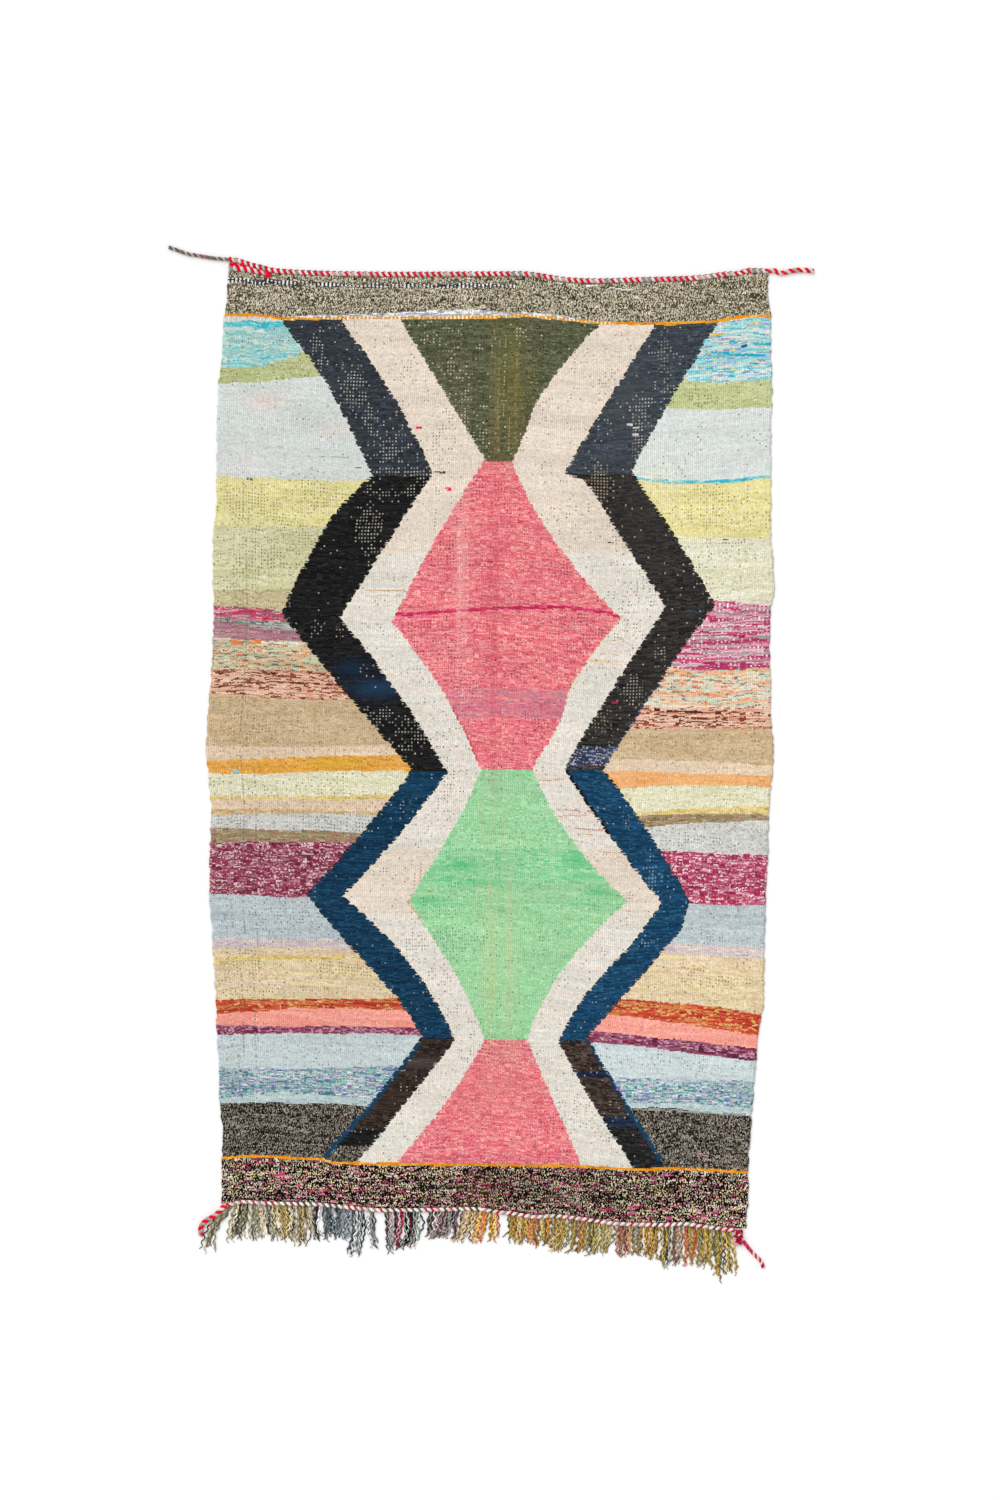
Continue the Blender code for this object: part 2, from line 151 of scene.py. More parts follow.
# Stripes of the two sides.  Columns: how far up the stripe begins at the
# selvedge, half way and at the band, and its yarn.
LEFT_STRIPES = (
    (1085.0, 1085.0, 1085.0, "undyed"),
    (1060.0, 1059.0, 1057.5, "deep_turquoise"),
    (1047.0, 1045.0, 1045.0, "turquoise"),
    (962.0, 975.0, 1000.0, "streaked_turquoise"),
    (943.5, 952.5, 981.0, "lime"),
    (902.5, 911.0, 920.0, "ice"),
    (671.0, 665.0, 664.0, "yellow"),
    (547.5, 547.5, 545.0, "pale_lime"),
    (387.5, 387.5, 387.5, "khaki"),
    (348.0, 343.0, 333.0, "magenta_rows"),
    (324.0, 324.0, 315.0, "dusty_pink"),
    (317.0, 311.0, 309.0, "grey_green"),
    (311.0, 300.0, 282.0, "mauve"),
    (269.0, 261.0, 259.0, "melange"),
    (191.0, 187.5, 187.5, "rust"),
    (132.5, 117.5, 116.0, "tan"),
    (-3.5, -5.0, 0.0, "shell"),
    (-37.5, -32.0, -25.0, "orange"),
    (-72.5, -67.5, -64.0, "primrose"),
    (-129.0, -127.5, -123.0, "gold_thread"),
    (-137.0, -136.0, -136.0, "shell"),
    (-161.0, -161.0, -168.5, "tan_thread"),
    (-176.0, -171.0, -176.0, "blue_grey"),
    (-207.5, -212.0, -220.5, "olive_brown"),
    (-242.5, -241.5, -243.5, "burgundy"),
    (-371.0, -377.5, -377.5, "sky"),
    (-485.0, -485.0, -487.0, "lilac"),
    (-512.5, -509.0, -515.0, "sand"),
    (-532.0, -526.0, -530.0, "gold_thread"),
    (-541.0, -536.0, -539.0, "sand"),
    (-636.5, -635.0, -631.0, "red_and_tan"),
    (-672.5, -659.5, -666.5, "coral"),
    (-700.0, -702.5, -707.5, "burgundy_thread"),
    (-726.5, -721.0, -724.5, "pale_blue"),
    (-810.0, -807.5, -802.5, "blue_heather"),
    (-887.0, -872.5, -887.0, "cyan"),
    (-897.5, -895.0, -902.0, "charcoal_heather"),
)
RIGHT_STRIPES = (
    (1085.0, 1085.0, 1085.0, "flecked_turquoise"),
    (914.0, 909.0, 910.0, "lime"),
    (844.0, 840.0, 844.0, "ice"),
    (674.0, 661.0, 671.0, "deep_turquoise"),
    (667.5, 654.0, 660.0, "yellow"),
    (517.5, 517.5, 517.5, "straw"),
    (350.0, 355.0, 360.0, "mauve_rows"),
    (192.5, 187.5, 192.5, "pale_melange"),
    (97.5, 92.5, 92.5, "rust"),
    (40.0, 40.0, 40.0, "tan"),
    (-52.5, -40.0, -35.0, "shell"),
    (-75.0, -70.0, -65.0, "light_orange"),
    (-107.5, -100.0, -111.0, "primrose"),
    (-155.0, -157.5, -172.5, "gold_thread"),
    (-176.0, -170.0, -178.0, "olive_brown"),
    (-190.0, -192.5, -207.0, "blue_grey"),
    (-272.0, -269.0, -265.0, "crimson"),
    (-399.0, -402.0, -395.0, "sky"),
    (-506.0, -500.0, -497.0, "lilac"),
    (-535.0, -527.5, -517.0, "sand"),
    (-672.5, -647.5, -633.0, "red_and_tan"),
    (-728.5, -696.0, -674.5, "coral"),
    (-759.0, -734.0, -715.5, "burgundy_thread"),
    (-794.0, -766.0, -741.0, "pale_blue"),
    (-840.0, -835.0, -829.0, "blue_heather"),
    (-905.5, -899.0, -898.0, "cyan"),
    (-929.5, -912.5, -907.5, "charcoal_heather"),
)
# Columns: zone, stripes, the selvedge's column, the band's edge, and the way into the
# band: 1 is to the right.
SIDES = ((0, LEFT_STRIPES, 1, 0, 1), (6, RIGHT_STRIPES, 2, 5, -1))
STRIPES_END = -1060.0  # how far up the last stripe ends
STRIPE_WAVERS = (2.8, 1.2)  # how far a stripe's edge strays, in long waves and in short
BAND_WAVER = 2.0  # the same where a band, the ground or the centre changes its yarn
BEND_FADE = 70.0  # how far into a band its wefts take to lie level again

# Yarns of the bands, of the ground between them and of the centre.  Columns:
# how far up each begins, and its yarn.
LEFT_BAND = (
    (1100, "navy"), (672, "black"), (-66, "petrol"), (-733, "brown_black"), (-962, "black"),
    (-1000, "charcoal_heather"),
)
RIGHT_BAND = (
    (1100, "navy"), (677, "paler_black"), (-4, "denim"), (-54, "brown_black"), (-61, "petrol"),
    (-739, "brown_black"), (-816, "ink"), (-832, "brown_black"), (-930, "ink"), (-956, "black"),
)
GROUND = ((1100, "warm_cream"), (480, "cream"), (-260, "warm_cream"), (-420, "cream"))
CENTRE = (
    (1100, "olive"), (710, "pink"), (140, "mauve_pink"), (67, "pink"), (-61.5, "mint"),
    (-262, "streaked_mint"), (-342, "mint"), (-396, "streaked_mint"), (-404, "mint"),
    (-736, "pink"),
)
# How light each zone's yarns are: the right side is a shade lighter than the left.
SHADES = {0: 0.94, 1: 0.92, 5: 1.35, 6: 1.03}

# Single rows of weft: across the centre, and right across at both ends.  Columns:
# across and up.
MAGENTA_LINE = (
    (-245, 327.5), (-195, 327.5), (20, 342.5), (190, 345), (287.5, 332.5), (330, 317.5),
)
MAGENTA_ROW = 8.0  # how much of the cloth it covers
HEAD_ORANGE = (
    (-660, 1075), (-575, 1074), (-515, 1065), (-400, 1067), (-237.5, 1067.5), (25, 1070),
    (92.5, 1074), (180, 1064), (275, 1055), (442.5, 1052.5), (565, 1059), (627.5, 1070),
    (695, 1072.5),
)
FOOT_ORANGE = (
    (-662.5, -1032), (-582.5, -1027.5), (-487.5, -1032.5), (-425, -1035), (-387.5, -1045),
    (-245, -1047.5), (0, -1050), (215, -1052.5), (357.5, -1062.5), (462.5, -1059),
    (645, -1067.5),
)
ORANGE_ROW = 7.0  # how much of the cloth one orange row covers
ORANGE_DOTTED = (-500, 300)  # from where to where the head's orange row is dotted
# How high the whitish rows stand over the head's orange row.  Columns: across, height.
WHITISH = (
    (-540, 0), (-480, 7), (-400, 9), (-300, 11), (-210, 15), (-60, 20), (0, 16), (60, 9),
    (110, 9), (180, 10), (210, 6), (260, 0),
)
STITCH_ROWS = (5, 8)  # first and last pick of the twined black and white rows at the head
STITCH_ENDS = (-480, 70)  # how far across they run whole, and then with gaps
STITCH_GAPS = 0.35

# The yarns.  Columns: ground colours, picks and columns to one batch of them,
# fleck colours, their share (a share over 1 puts them on every second warp),
# their run in warps, and the colour and share of the warps that show through.
YARNS = {
    "undyed": ("d8d5c6 d0d3cd", 1, 6, "e2dfd4", 0.2, 2, "a5a090", 0.2),
    "deep_turquoise": ("35b6ca 49bccb 6fc8d0", 1, 4, "a8dadc 8fd0d4", 0.2, 3, "5d8a8a", 0.2),
    "turquoise": ("a6d0c8 bcd8cc 9ac8c4 c8d8cc", 1, 14, "6cc4cc 8acbcb dfe6de 92bcae", 0.32, 3,
                  "4f5a52", 0.6),
    "streaked_turquoise": ("a6d4ce 8eccce b6dad2 84cacf ccdcd0", 1, 16, "56c0cc d6e2d6", 0.3, 5,
                           "6d8a80", 0.3),
    "flecked_turquoise": ("a9d6d4 c9dedb 9bd0d3 dadfd9 86c8cf", 1, 16,
                          "2aa8c0 58bccb e3ddd6 a99cc0 dcc66a 8d88b4 c4b4cc", 0.27, 4,
                          "7d8a86", 0.2),
    "lime": ("bfc58f b9c088 c6cb98", 2, 8, "a7ae78 d0d3a8", 0.25, 0.7, "4c4f36", 0.6),
    "ice": ("d4dad6 d2d8d5 d8dcd7", 2, 18, "dee1dd cdd3d0", 0.2, 3, "5f6264", 0.3),
    "yellow": ("e3da96 ded58f e8e0a2", 2, 8, "ece6b8 cfc67c e2cdb4", 0.25, 0.7, "6a6136", 0.8),
    "pale_lime": ("d3d0a4 cecb9b d9d5ae", 2, 8, "bdb98c e0dcc0", 0.25, 0.7, "545132", 0.75),
    "straw": ("dedac0 d9d5b4 e2dfc8", 2, 9, "cbc6a2 ebe8d8", 0.25, 0.7, "5f5b44", 0.6),
    "khaki": ("c9bc95 c2b48b", 2, 8, "b0a277 dacfae", 0.3, 0.7, "4c4228", 0.6),
    "magenta_rows": ("c2446b cf8a95 b35b72 d8a0a2 a8526a", 1, 14, "d3265c 7a4a55 e0b0b4", 0.3, 4,
                     "4b3438", 0.3),
    "dusty_pink": ("cf8b98 c99a9c b87080", 1, 14, "b86a80 dcb0a8 c63a60", 0.3, 4, "6a4a4e", 0.3),
    "grey_green": ("7f8f88 9aa096 aeb0a6", 1, 14, "566862 c9c6bb", 0.3, 3, "3a4440", 0.3),
    "mauve": ("b07e8a a6707f b98a8a a07082", 1, 14, "8d5a6e cf9ea4 b09590", 0.3, 4, "5f4356",
              0.4),
    "mauve_rows": ("c0507a d8a0b0 b03c66 d093a8 a0a49c c4708c a8345c e0b4c0 8f928c", 1, 26,
                   "f0dcdc e6bcc6 dcd2cc a82a56 d07c98", 1.42, 1, "5a4048", 0.4),
    "melange": ("d6c9aa c6ccaf dfd3bb cdbf9f e0a880 b4bca0", 1, 18,
                "e38a50 eba47a 7f8a72 a9b394 6f6350", 0.34, 3, "5a4c3a", 0.6),
    "pale_melange": ("dcd0b8 cfd4bd e2d8c6 e8b48e c4ccb4", 1, 20,
                     "ea9060 f0ab84 8f9a84 c4c9b0 7f7364", 0.28, 3, "5a4c40", 0.5),
    "rust": ("e6c0aa e0b298 eacab4 cc947a", 1, 18, "6a2f1e 8a4630 b06a48 7c4032 e4a888", 0.34, 2.6,
             "4f2c20", 0.4),
    "tan": ("cbb18c c6aa84 cfb794", 2, 9, "b59a72 d9c2a2", 0.28, 0.7, "6f5a3c", 0.5),
    "shell": ("e4cdb2 e1c7aa", 2, 10, "edd9c4 d3b695", 0.2, 0.7, "8a6e54", 0.4),
    "orange": ("e4a64c e6ac55 dfa045", 2, 8, "ecb567 d28f34", 0.25, 2, "8a5a20", 0.4),
    "light_orange": ("e9ae74 e6a96c", 2, 8, "efbd8c dc9a5a", 0.22, 0.7, "a8784a", 0.25),
    "primrose": ("e3dfc0 dedab6 e6e3c8", 2, 9, "eeecd6 c9c49c", 0.25, 0.7, "6b6852", 0.6),
    "gold_thread": ("dcc477 e3cd8c", 1, 5, "c9a850 ead9ac", 0.35, 2, "8a7442", 0.3),
    "tan_thread": ("cfb084 d6bb90", 1, 5, "bf9c68 e2cfae", 0.3, 2, "8a6f48", 0.3),
    "blue_grey": ("cccbc6 c8c7c2 d1cfc8", 2, 9, "dadad4 a9aaa6", 0.25, 0.7, "545656", 0.7),
    "olive_brown": ("a08e6c 958260 a8987a", 1, 5, "c0af8c 7a6848 b0706a", 0.3, 2, "554830", 0.3),
    "burgundy": ("8f3a50 9b4a5e 84304a a8607a", 2, 1, "742038 d2b0b2 c48894 642040 dcc4c0", 0.42,
                 0.8, "e0cac8", 0.3),
    "crimson": ("b0405e bb5472 a43250 c06a84", 2, 1, "8f2444 e4bec4 d290a2 842848 ecd4d6", 0.42,
                0.8, "ecd8d8", 0.3),
    "sky": ("b9c3c6 b4bfc3 bfc9cc", 2, 9, "cad3d4 a3afb3", 0.22, 0.7, "50595c", 0.5),
    "lilac": ("d5c6bc d0c3bc", 1, 16, "bfaec0 e2d8cc c8aebc", 0.35, 3, "6f6068", 0.5),
    "sand": ("dfcaa6 e2cfb0 d9c19c e4d4a4", 2, 8, "eadbbf c9b084 d8b692", 0.26, 0.7, "5f5030",
             0.65),
    "red_and_tan": ("c2432e cf5c40 b03826 c98048", 1, 5, "dba25e 9e2a1a e0b078 c94a34", 0.34, 2,
                    "7a2c1c", 0.2),
    "coral": ("f29f90 f0998a f6a89a", 2, 10, "f8b3a4 e38c7c", 0.18, 0.7, "9c5c52", 0.3),
    "burgundy_thread": ("8e3c56 9e5570 7c324c", 1, 8, "b88098 5c2440 c8a0aa", 0.4, 1.5,
                        "4a1c30", 0.2),
    "pale_blue": ("c7d2d3 c2cdcf cbd6d6", 2, 10, "d6dedd afbbbd", 0.2, 0.7, "5f6a6c", 0.45),
    "blue_heather": ("a0b0b6 acbebe 98a8b6 bccac8", 1, 3,
                     "55689c 57a492 8470a8 c8b8ca 427c84 dce4e2 7a88b4 80bcac", 0.5, 1.2,
                     "3f4a70", 0.3),
    "cyan": ("bccfce b4c6c6", 2, 8, "cddad8 9db0af", 0.22, 2, "728080", 0.2),
    "charcoal_heather": ("2a2621 1e1b19 352f29 171514", 1, 1, "8c8276 b0a698 7a7266 9a9084", 0.38,
                         0.4, "a8a090", 0.2),
    "head_tweed": ("5a5140 4c4434 6a614d 3c3529", 1, 1, "dcd4bc beb49a d0c8ae c4baa0", 0.43, 0.4,
                   "efe8d4", 0.12),
    "foot_tweed": ("060505 0f0c0b 040303 1c1613", 1, 1,
                   "eedcb0 d4c090 f6e8d2 c05078 b86880 c4c0b8 e4d2a8 8c8058", 0.35, 0.4, "e6dcc8",
                   0.1),
    "black_and_white": ("3a3d42 4a463e 2c3238", 1, 2, "f4f1ea e6e2da dfe0e0", 1.85, 1, "ffffff",
                        0.0),
    "whitish": ("b4b2ac a3a2a0 c4c2be", 1, 5, "efeeec f4f2ee 8f94ac dcdce0", 0.55, 1, "5a5a60",
                0.3),
    "orange_row": ("e8960c e08a10 ea9f24", 1, 4, "f2b85a cf7d10", 0.3, 2, "9a6a20", 0.2),
    "dotted_orange": ("dd9a34 d99030", 1, 3, "f4e2b8 f0d6a0 efe6cc", 1.6, 1, "5a4420", 0.3),
    "magenta_row": ("cc2a5a d43864 c02656", 1, 3, "e2607e b82450", 0.25, 2, "9a2c4a", 0.2),
    "warm_cream": ("e2d4c5 dfd0bf e5d8ca", 2, 9, "ecdfd0 d4c3b0 e8d0c0 dcd6c6", 0.24, 0.7,
                   "6a5a4e", 0.5),
    "cream": ("e2dace ded7cb e6dfd4 dcd9cf", 2, 9, "ebe5da d0c6b6 dbdcd6 e6d4c4", 0.24, 0.7,
              "62594e", 0.5),
    "olive": ("585b40 51553e 5f6248", 2, 6, "424530 74765a 383a2a", 0.32, 0.7, "c8c4ac", 0.7),
    "pink": ("e67a84 e4727e e8848a", 2, 8, "f6aea8 ca5466 f29e9a dc5c6e", 0.42, 0.6, "5c2630",
             0.9),
    "mauve_pink": ("dc7f89 d87b88 cc808e e0888e", 1, 14, "c06c80 ea9a9a b08494 d4607c", 0.36, 3,
                   "7f4658", 0.5),
    "mint": ("98d09c 92cc96 a0d4a4", 2, 9, "b6dfb4 80c288 a8cf98", 0.3, 0.7, "4c7450", 0.4),
    "streaked_mint": ("95cf9c 9dd4a2 8ccb96", 1, 14, "6cc68e 76c892 b4deb4", 0.32, 4, "5f8a60",
                      0.25),
    "navy": ("343a41 2e343b 3b4148", 1, 8, "454c53 262b31", 0.3, 2, "bcb8ae", 0.95),
    "black": ("1b1b1c 161617 222122", 1, 8, "2e2d2e 0e0e0f", 0.3, 2, "b4aea2", 0.9),
    # The right band's black, paler than the left band's.
    "paler_black": ("282524 211f1e 302c2b", 1, 8, "3a3634 171515", 0.3, 2, "b4aea2", 1.0),
    "ink": ("1a2336 1e2940 141b28", 1, 8, "2a3650 10141e", 0.3, 2, "a0a0a8", 0.7),
    "petrol": ("133852 0f304a 184060", 1, 8, "23506c 0c2a40", 0.3, 2, "9aa6aa", 0.6),
    "brown_black": ("342a26 2b2420 3e332e", 1, 5, "50423a 1c1614", 0.35, 2, "a89c8c", 0.7),
    "denim": ("2e354a 383f55 252b3c", 1, 2, "1a2030 566078 8d8f9c", 0.4, 0.8, "d4d4d8", 0.5),
}
TONES = (0.06, 0.05)  # how unevenly a yarn takes its dye, from batch to batch and row to row
BATCH_BLUR = 0.25  # how far one batch strays into the next
FLECK_SPREAD = (0.5, 1.1)  # how unevenly the rows hold fine flecks, and longer runs
FINE_RUN = 0.45  # flecks of a shorter run are two picks high

# Single wefts and patches that stand out.  Columns: across and up at the left
# end, across and up at the right end, thickness, colour, share of it that shows.
ODD_WEFTS = (
    (-312, 388, -207, 386, 4, "d0ab80", 0.7), (-300, 372, -220, 374, 3, "c9b596", 0.5),
    (-335, 302, -262, 304, 4, "d3d3ae", 0.6), (-147, 683, -108, 682, 3.5, "4a4038", 0.9),
    (-420, 722, -330, 715, 3, "a3adad", 0.5), (-560, 745, -380, 740, 3, "b4bcbb", 0.4),
    (117, -88, 183, -84, 3.5, "c99a7c", 0.75), (147, -160, 252, -165, 3.5, "c4968a", 0.75),
    (165, -180, 262, -176, 3.5, "cfa78c", 0.5), (205, -208, 288, -214, 3.5, "bf8f84", 0.75),
    (215, -222, 280, -226, 3, "cfa070", 0.6), (275, -268, 352, -266, 3.5, "c9a184", 0.7),
    (300, -284, 350, -280, 3, "d3b08c", 0.5), (250, 213, 318, 206, 8, "e0c19a", 0.6),
    (272, 228, 345, 226, 4, "d8b890", 0.4), (265, 258, 330, 262, 3.5, "d3c0a4", 0.5),
    (330, 372, 420, 368, 3, "cfa7a0", 0.4), (140, 458, 330, 455, 3, "dcb8b4", 0.35),
    (553, 981, 700, 972, 5, "1fa6c2", 0.85), (600, 1009, 702, 1003, 5, "2ab0c8", 0.85),
    (560, 1024, 612, 1012, 4, "a99cc0", 0.7), (545, 995, 640, 990, 4, "35b0c6", 0.6),
    (495, 940, 700, 928, 4, "48b4c4", 0.5), (562, 1028, 575, 1027, 6, "e2c040", 1.0),
    (630, 1000, 645, 998, 6, "3c4c9c", 1.0), (580, 1044, 700, 1036, 4, "52bccc", 0.6),
    (590, 940, 612, 939, 4, "e2cc5a", 0.8), (-655, 990, -520, 1000, 4, "74cad0", 0.5),
    (-658, 1012, -560, 1016, 4, "8ccdd2", 0.4), (-590, 318, -510, 308, 5, "c8244e", 0.9),
    (-650, 333, -560, 338, 5, "c42a58", 0.6), (-685, 317, -640, 314, 4, "6f857c", 0.9),
    (-585, 256, -468, 254, 6, "e8e2d0", 0.8), (-642, 258, -578, 258, 12, "dc8248", 0.75),
    (-690, 186, -600, 180, 4, "7a3a28", 0.6), (-600, 180, -480, 172, 4, "6a3020", 0.7),
    (-560, 158, -380, 150, 4, "7a3c28", 0.7), (-690, 150, -560, 143, 4, "8a4a34", 0.6),
    (-470, 136, -330, 128, 4, "a85a40", 0.5), (-660, 170, -540, 166, 3.5, "e0b8a4", 0.7),
    (392, 88, 572, 80, 5, "5f2c20", 0.8), (405, 76, 560, 66, 4, "70352a", 0.6),
    (505, 60, 692, 52, 4, "7a3a2c", 0.7), (362, 52, 410, 50, 4, "b04a44", 0.9),
    (560, 88, 690, 70, 4, "8f4a38", 0.5), (440, 45, 690, 42, 3.5, "c47868", 0.5),
    (460, 160, 690, 150, 3.5, "dd8458", 0.5), (520, 130, 600, 118, 5, "ea8a5a", 0.8),
    (390, 176, 500, 172, 4, "e59060", 0.6), (480, 110, 660, 104, 3.5, "c4cdb4", 0.5),
    (303, 107, 308, 107, 8, "b01a4c", 1.0), (-311, 66, -304, 66, 7, "2a6a84", 1.0),
    (-638, -66, -624, -67, 8, "86c4c8", 0.8), (-187, 793, -182, 793, 9, "e0304e", 1.0),
    (-106, 637, -100, 637, 9, "e0304e", 1.0), (-603, 667, -600, 667, 6, "4a4c4c", 1.0),
    (476, 337, 535, 334, 6, "2f4a54", 0.8), (590, 517, 596, 516, 4, "55503c", 0.9),
    (297, 508, 302, 508, 4, "50483f", 0.9), (-5, 460, 0, 460, 4, "8a3a48", 0.9),
    (370, -908, 650, -926, 5, "9aa09c", 0.8), (-345, 690, -320, 692, 4, "6a6c70", 0.6),
    (172, 1154, 250, 1148, 3.5, "ececec", 0.7), (250, 1148, 362, 1139, 3.5, "e4e2e6", 0.6),
    (337, 800, 351, 799, 4, "f4f2ee", 1.0), (352, 794, 366, 795, 4, "eceae4", 1.0),
    (362, 774, 370, 773, 4, "e4e0d8", 1.0), (-62, 985, -40, 985, 3, "d8d4c4", 0.6),
    (-228, -788, -200, -790, 4, "b8b0a8", 0.6), (-222, -815, -212, -815, 4, "a8a098", 0.7),
    (210, -52, 285, -52, 4, "4a3424", 0.7), (212, -6, 300, -8, 3, "2a2a3a", 0.6),
    (540, 345, 640, 336, 6, "c8306c", 0.85), (640, 322, 700, 318, 5, "b83a66", 0.7),
    (520, 285, 690, 262, 4, "a82a58", 0.7), (500, 262, 610, 250, 5, "ba3060", 0.7),
    (485, 236, 690, 226, 4, "9a9c96", 0.7), (460, 213, 540, 210, 5, "d8487c", 0.8),
    (520, 205, 700, 200, 4, "a83460", 0.6), (530, 300, 700, 296, 4, "e4cec8", 0.7),
    (535, -915, 640, -925, 3, "7a8a9c", 0.3), (345, -1050, 440, -1052, 4, "17405c", 0.8),
    (-425, -1042, -350, -1042, 5, "1c4560", 0.8), (385, -1000, 395, -1002, 6, "a02030", 1.0),
    (520, -1018, 540, -1026, 4, "d88aa0", 0.9), (-90, -1085, -68, -1087, 7, "b8336a", 0.9),
    (-32, -1098, -18, -1099, 7, "c03a70", 0.9), (157, -1108, 172, -1110, 8, "b03060", 0.9),
    (-640, -1150, -560, -1152, 4, "b86a78", 0.5), (-330, -1090, -240, -1092, 5, "7a3a4a", 0.5),
    (30, -1145, 250, -1152, 5, "a85a70", 0.4), (-560, -1122, -420, -1126, 6, "1c1816", 0.7),
    (-420, -1135, -150, -1140, 6, "1a1614", 0.7), (250, -1130, 420, -1140, 7, "1c1714", 0.6),
    (430, -1105, 600, -1110, 6, "1e1916", 0.6), (-200, -1105, 40, -1110, 6, "1c1816", 0.6),
)
ODD_WAVER = 2.5  # how far such a weft strays up and down
ODD_FLECKS = 0.15  # the share of flecks in it
# Short thick places in the foot band's wefts.
SLUBS = {"count": 170, "across": (-665, 640), "under_orange": (9, 140), "length": (6, 28),
         "thick": (3, 7), "shows": 0.8,
         "dyes": "c03a68 c04a78 a83058 c9809a 0a0807 0c0908 100c0a 060505"}

# Soft stains and lots of a slightly different dye.  Columns: across and up of
# the middle, half width, half height, colour, strength.
STAINS = (
    (-561, 857, 42, 22, "e8ccc0", 0.5), (-392, 784, 32, 18, "e4d0c8", 0.45),
    (-600, 700, 60, 30, "e0d6d6", 0.4), (-385, -46, 60, 10, "d6ac22", 0.7),
    (-90, 930, 30, 45, "7a4a44", 0.15), (62, 880, 26, 170, "94823c", 0.3),
    (15, 880, 10, 170, "b0a060", 0.2), (8, 300, 14, 330, "c23a50", 0.35),
    (-70, 430, 16, 260, "f4c0b8", 0.3), (-345, 192, 40, 20, "14293c", 0.95),
    (-285, 142, 62, 22, "1c3852", 1.0), (218, -292, 32, 20, "42b86e", 0.65),
    (-75, -300, 44, 12, "4cbc78", 0.7), (-40, -345, 90, 9, "56c080", 0.6),
    (-150, -385, 40, 9, "42b86e", 0.6), (270, -368, 32, 16, "48b874", 0.6),
    (240, -330, 60, 8, "56c080", 0.5), (-170, -400, 40, 12, "62c488", 0.35),
    (60, -500, 120, 160, "a4d8a0", 0.3), (-20, -880, 120, 60, "e88a80", 0.25),
    (0, -560, 20, 200, "c8c890", 0.3), (50, -560, 14, 240, "d0c498", 0.25),
    (340, 870, 60, 120, "4a4d50", 0.45), (370, 560, 60, 120, "3a3836", 0.35),
    (-640, 500, 60, 60, "dcdcb8", 0.3), (-20, -1120, 40, 40, "c8603c", 0.12),
    (40, -1115, 190, 60, "100c0a", 0.36), (330, -1130, 170, 60, "100c0a", 0.2),
    (-185, -795, 60, 12, "5a5350", 0.55), (-250, -880, 60, 30, "3a2a22", 0.5),
    (420, 640, 60, 60, "ece4b8", 0.3), (-160, 560, 40, 60, "ece0d2", 0.3),
)
STAIN_TAKES = (0.8, 0.5)  # how well a row takes a stain: at the least, and by chance

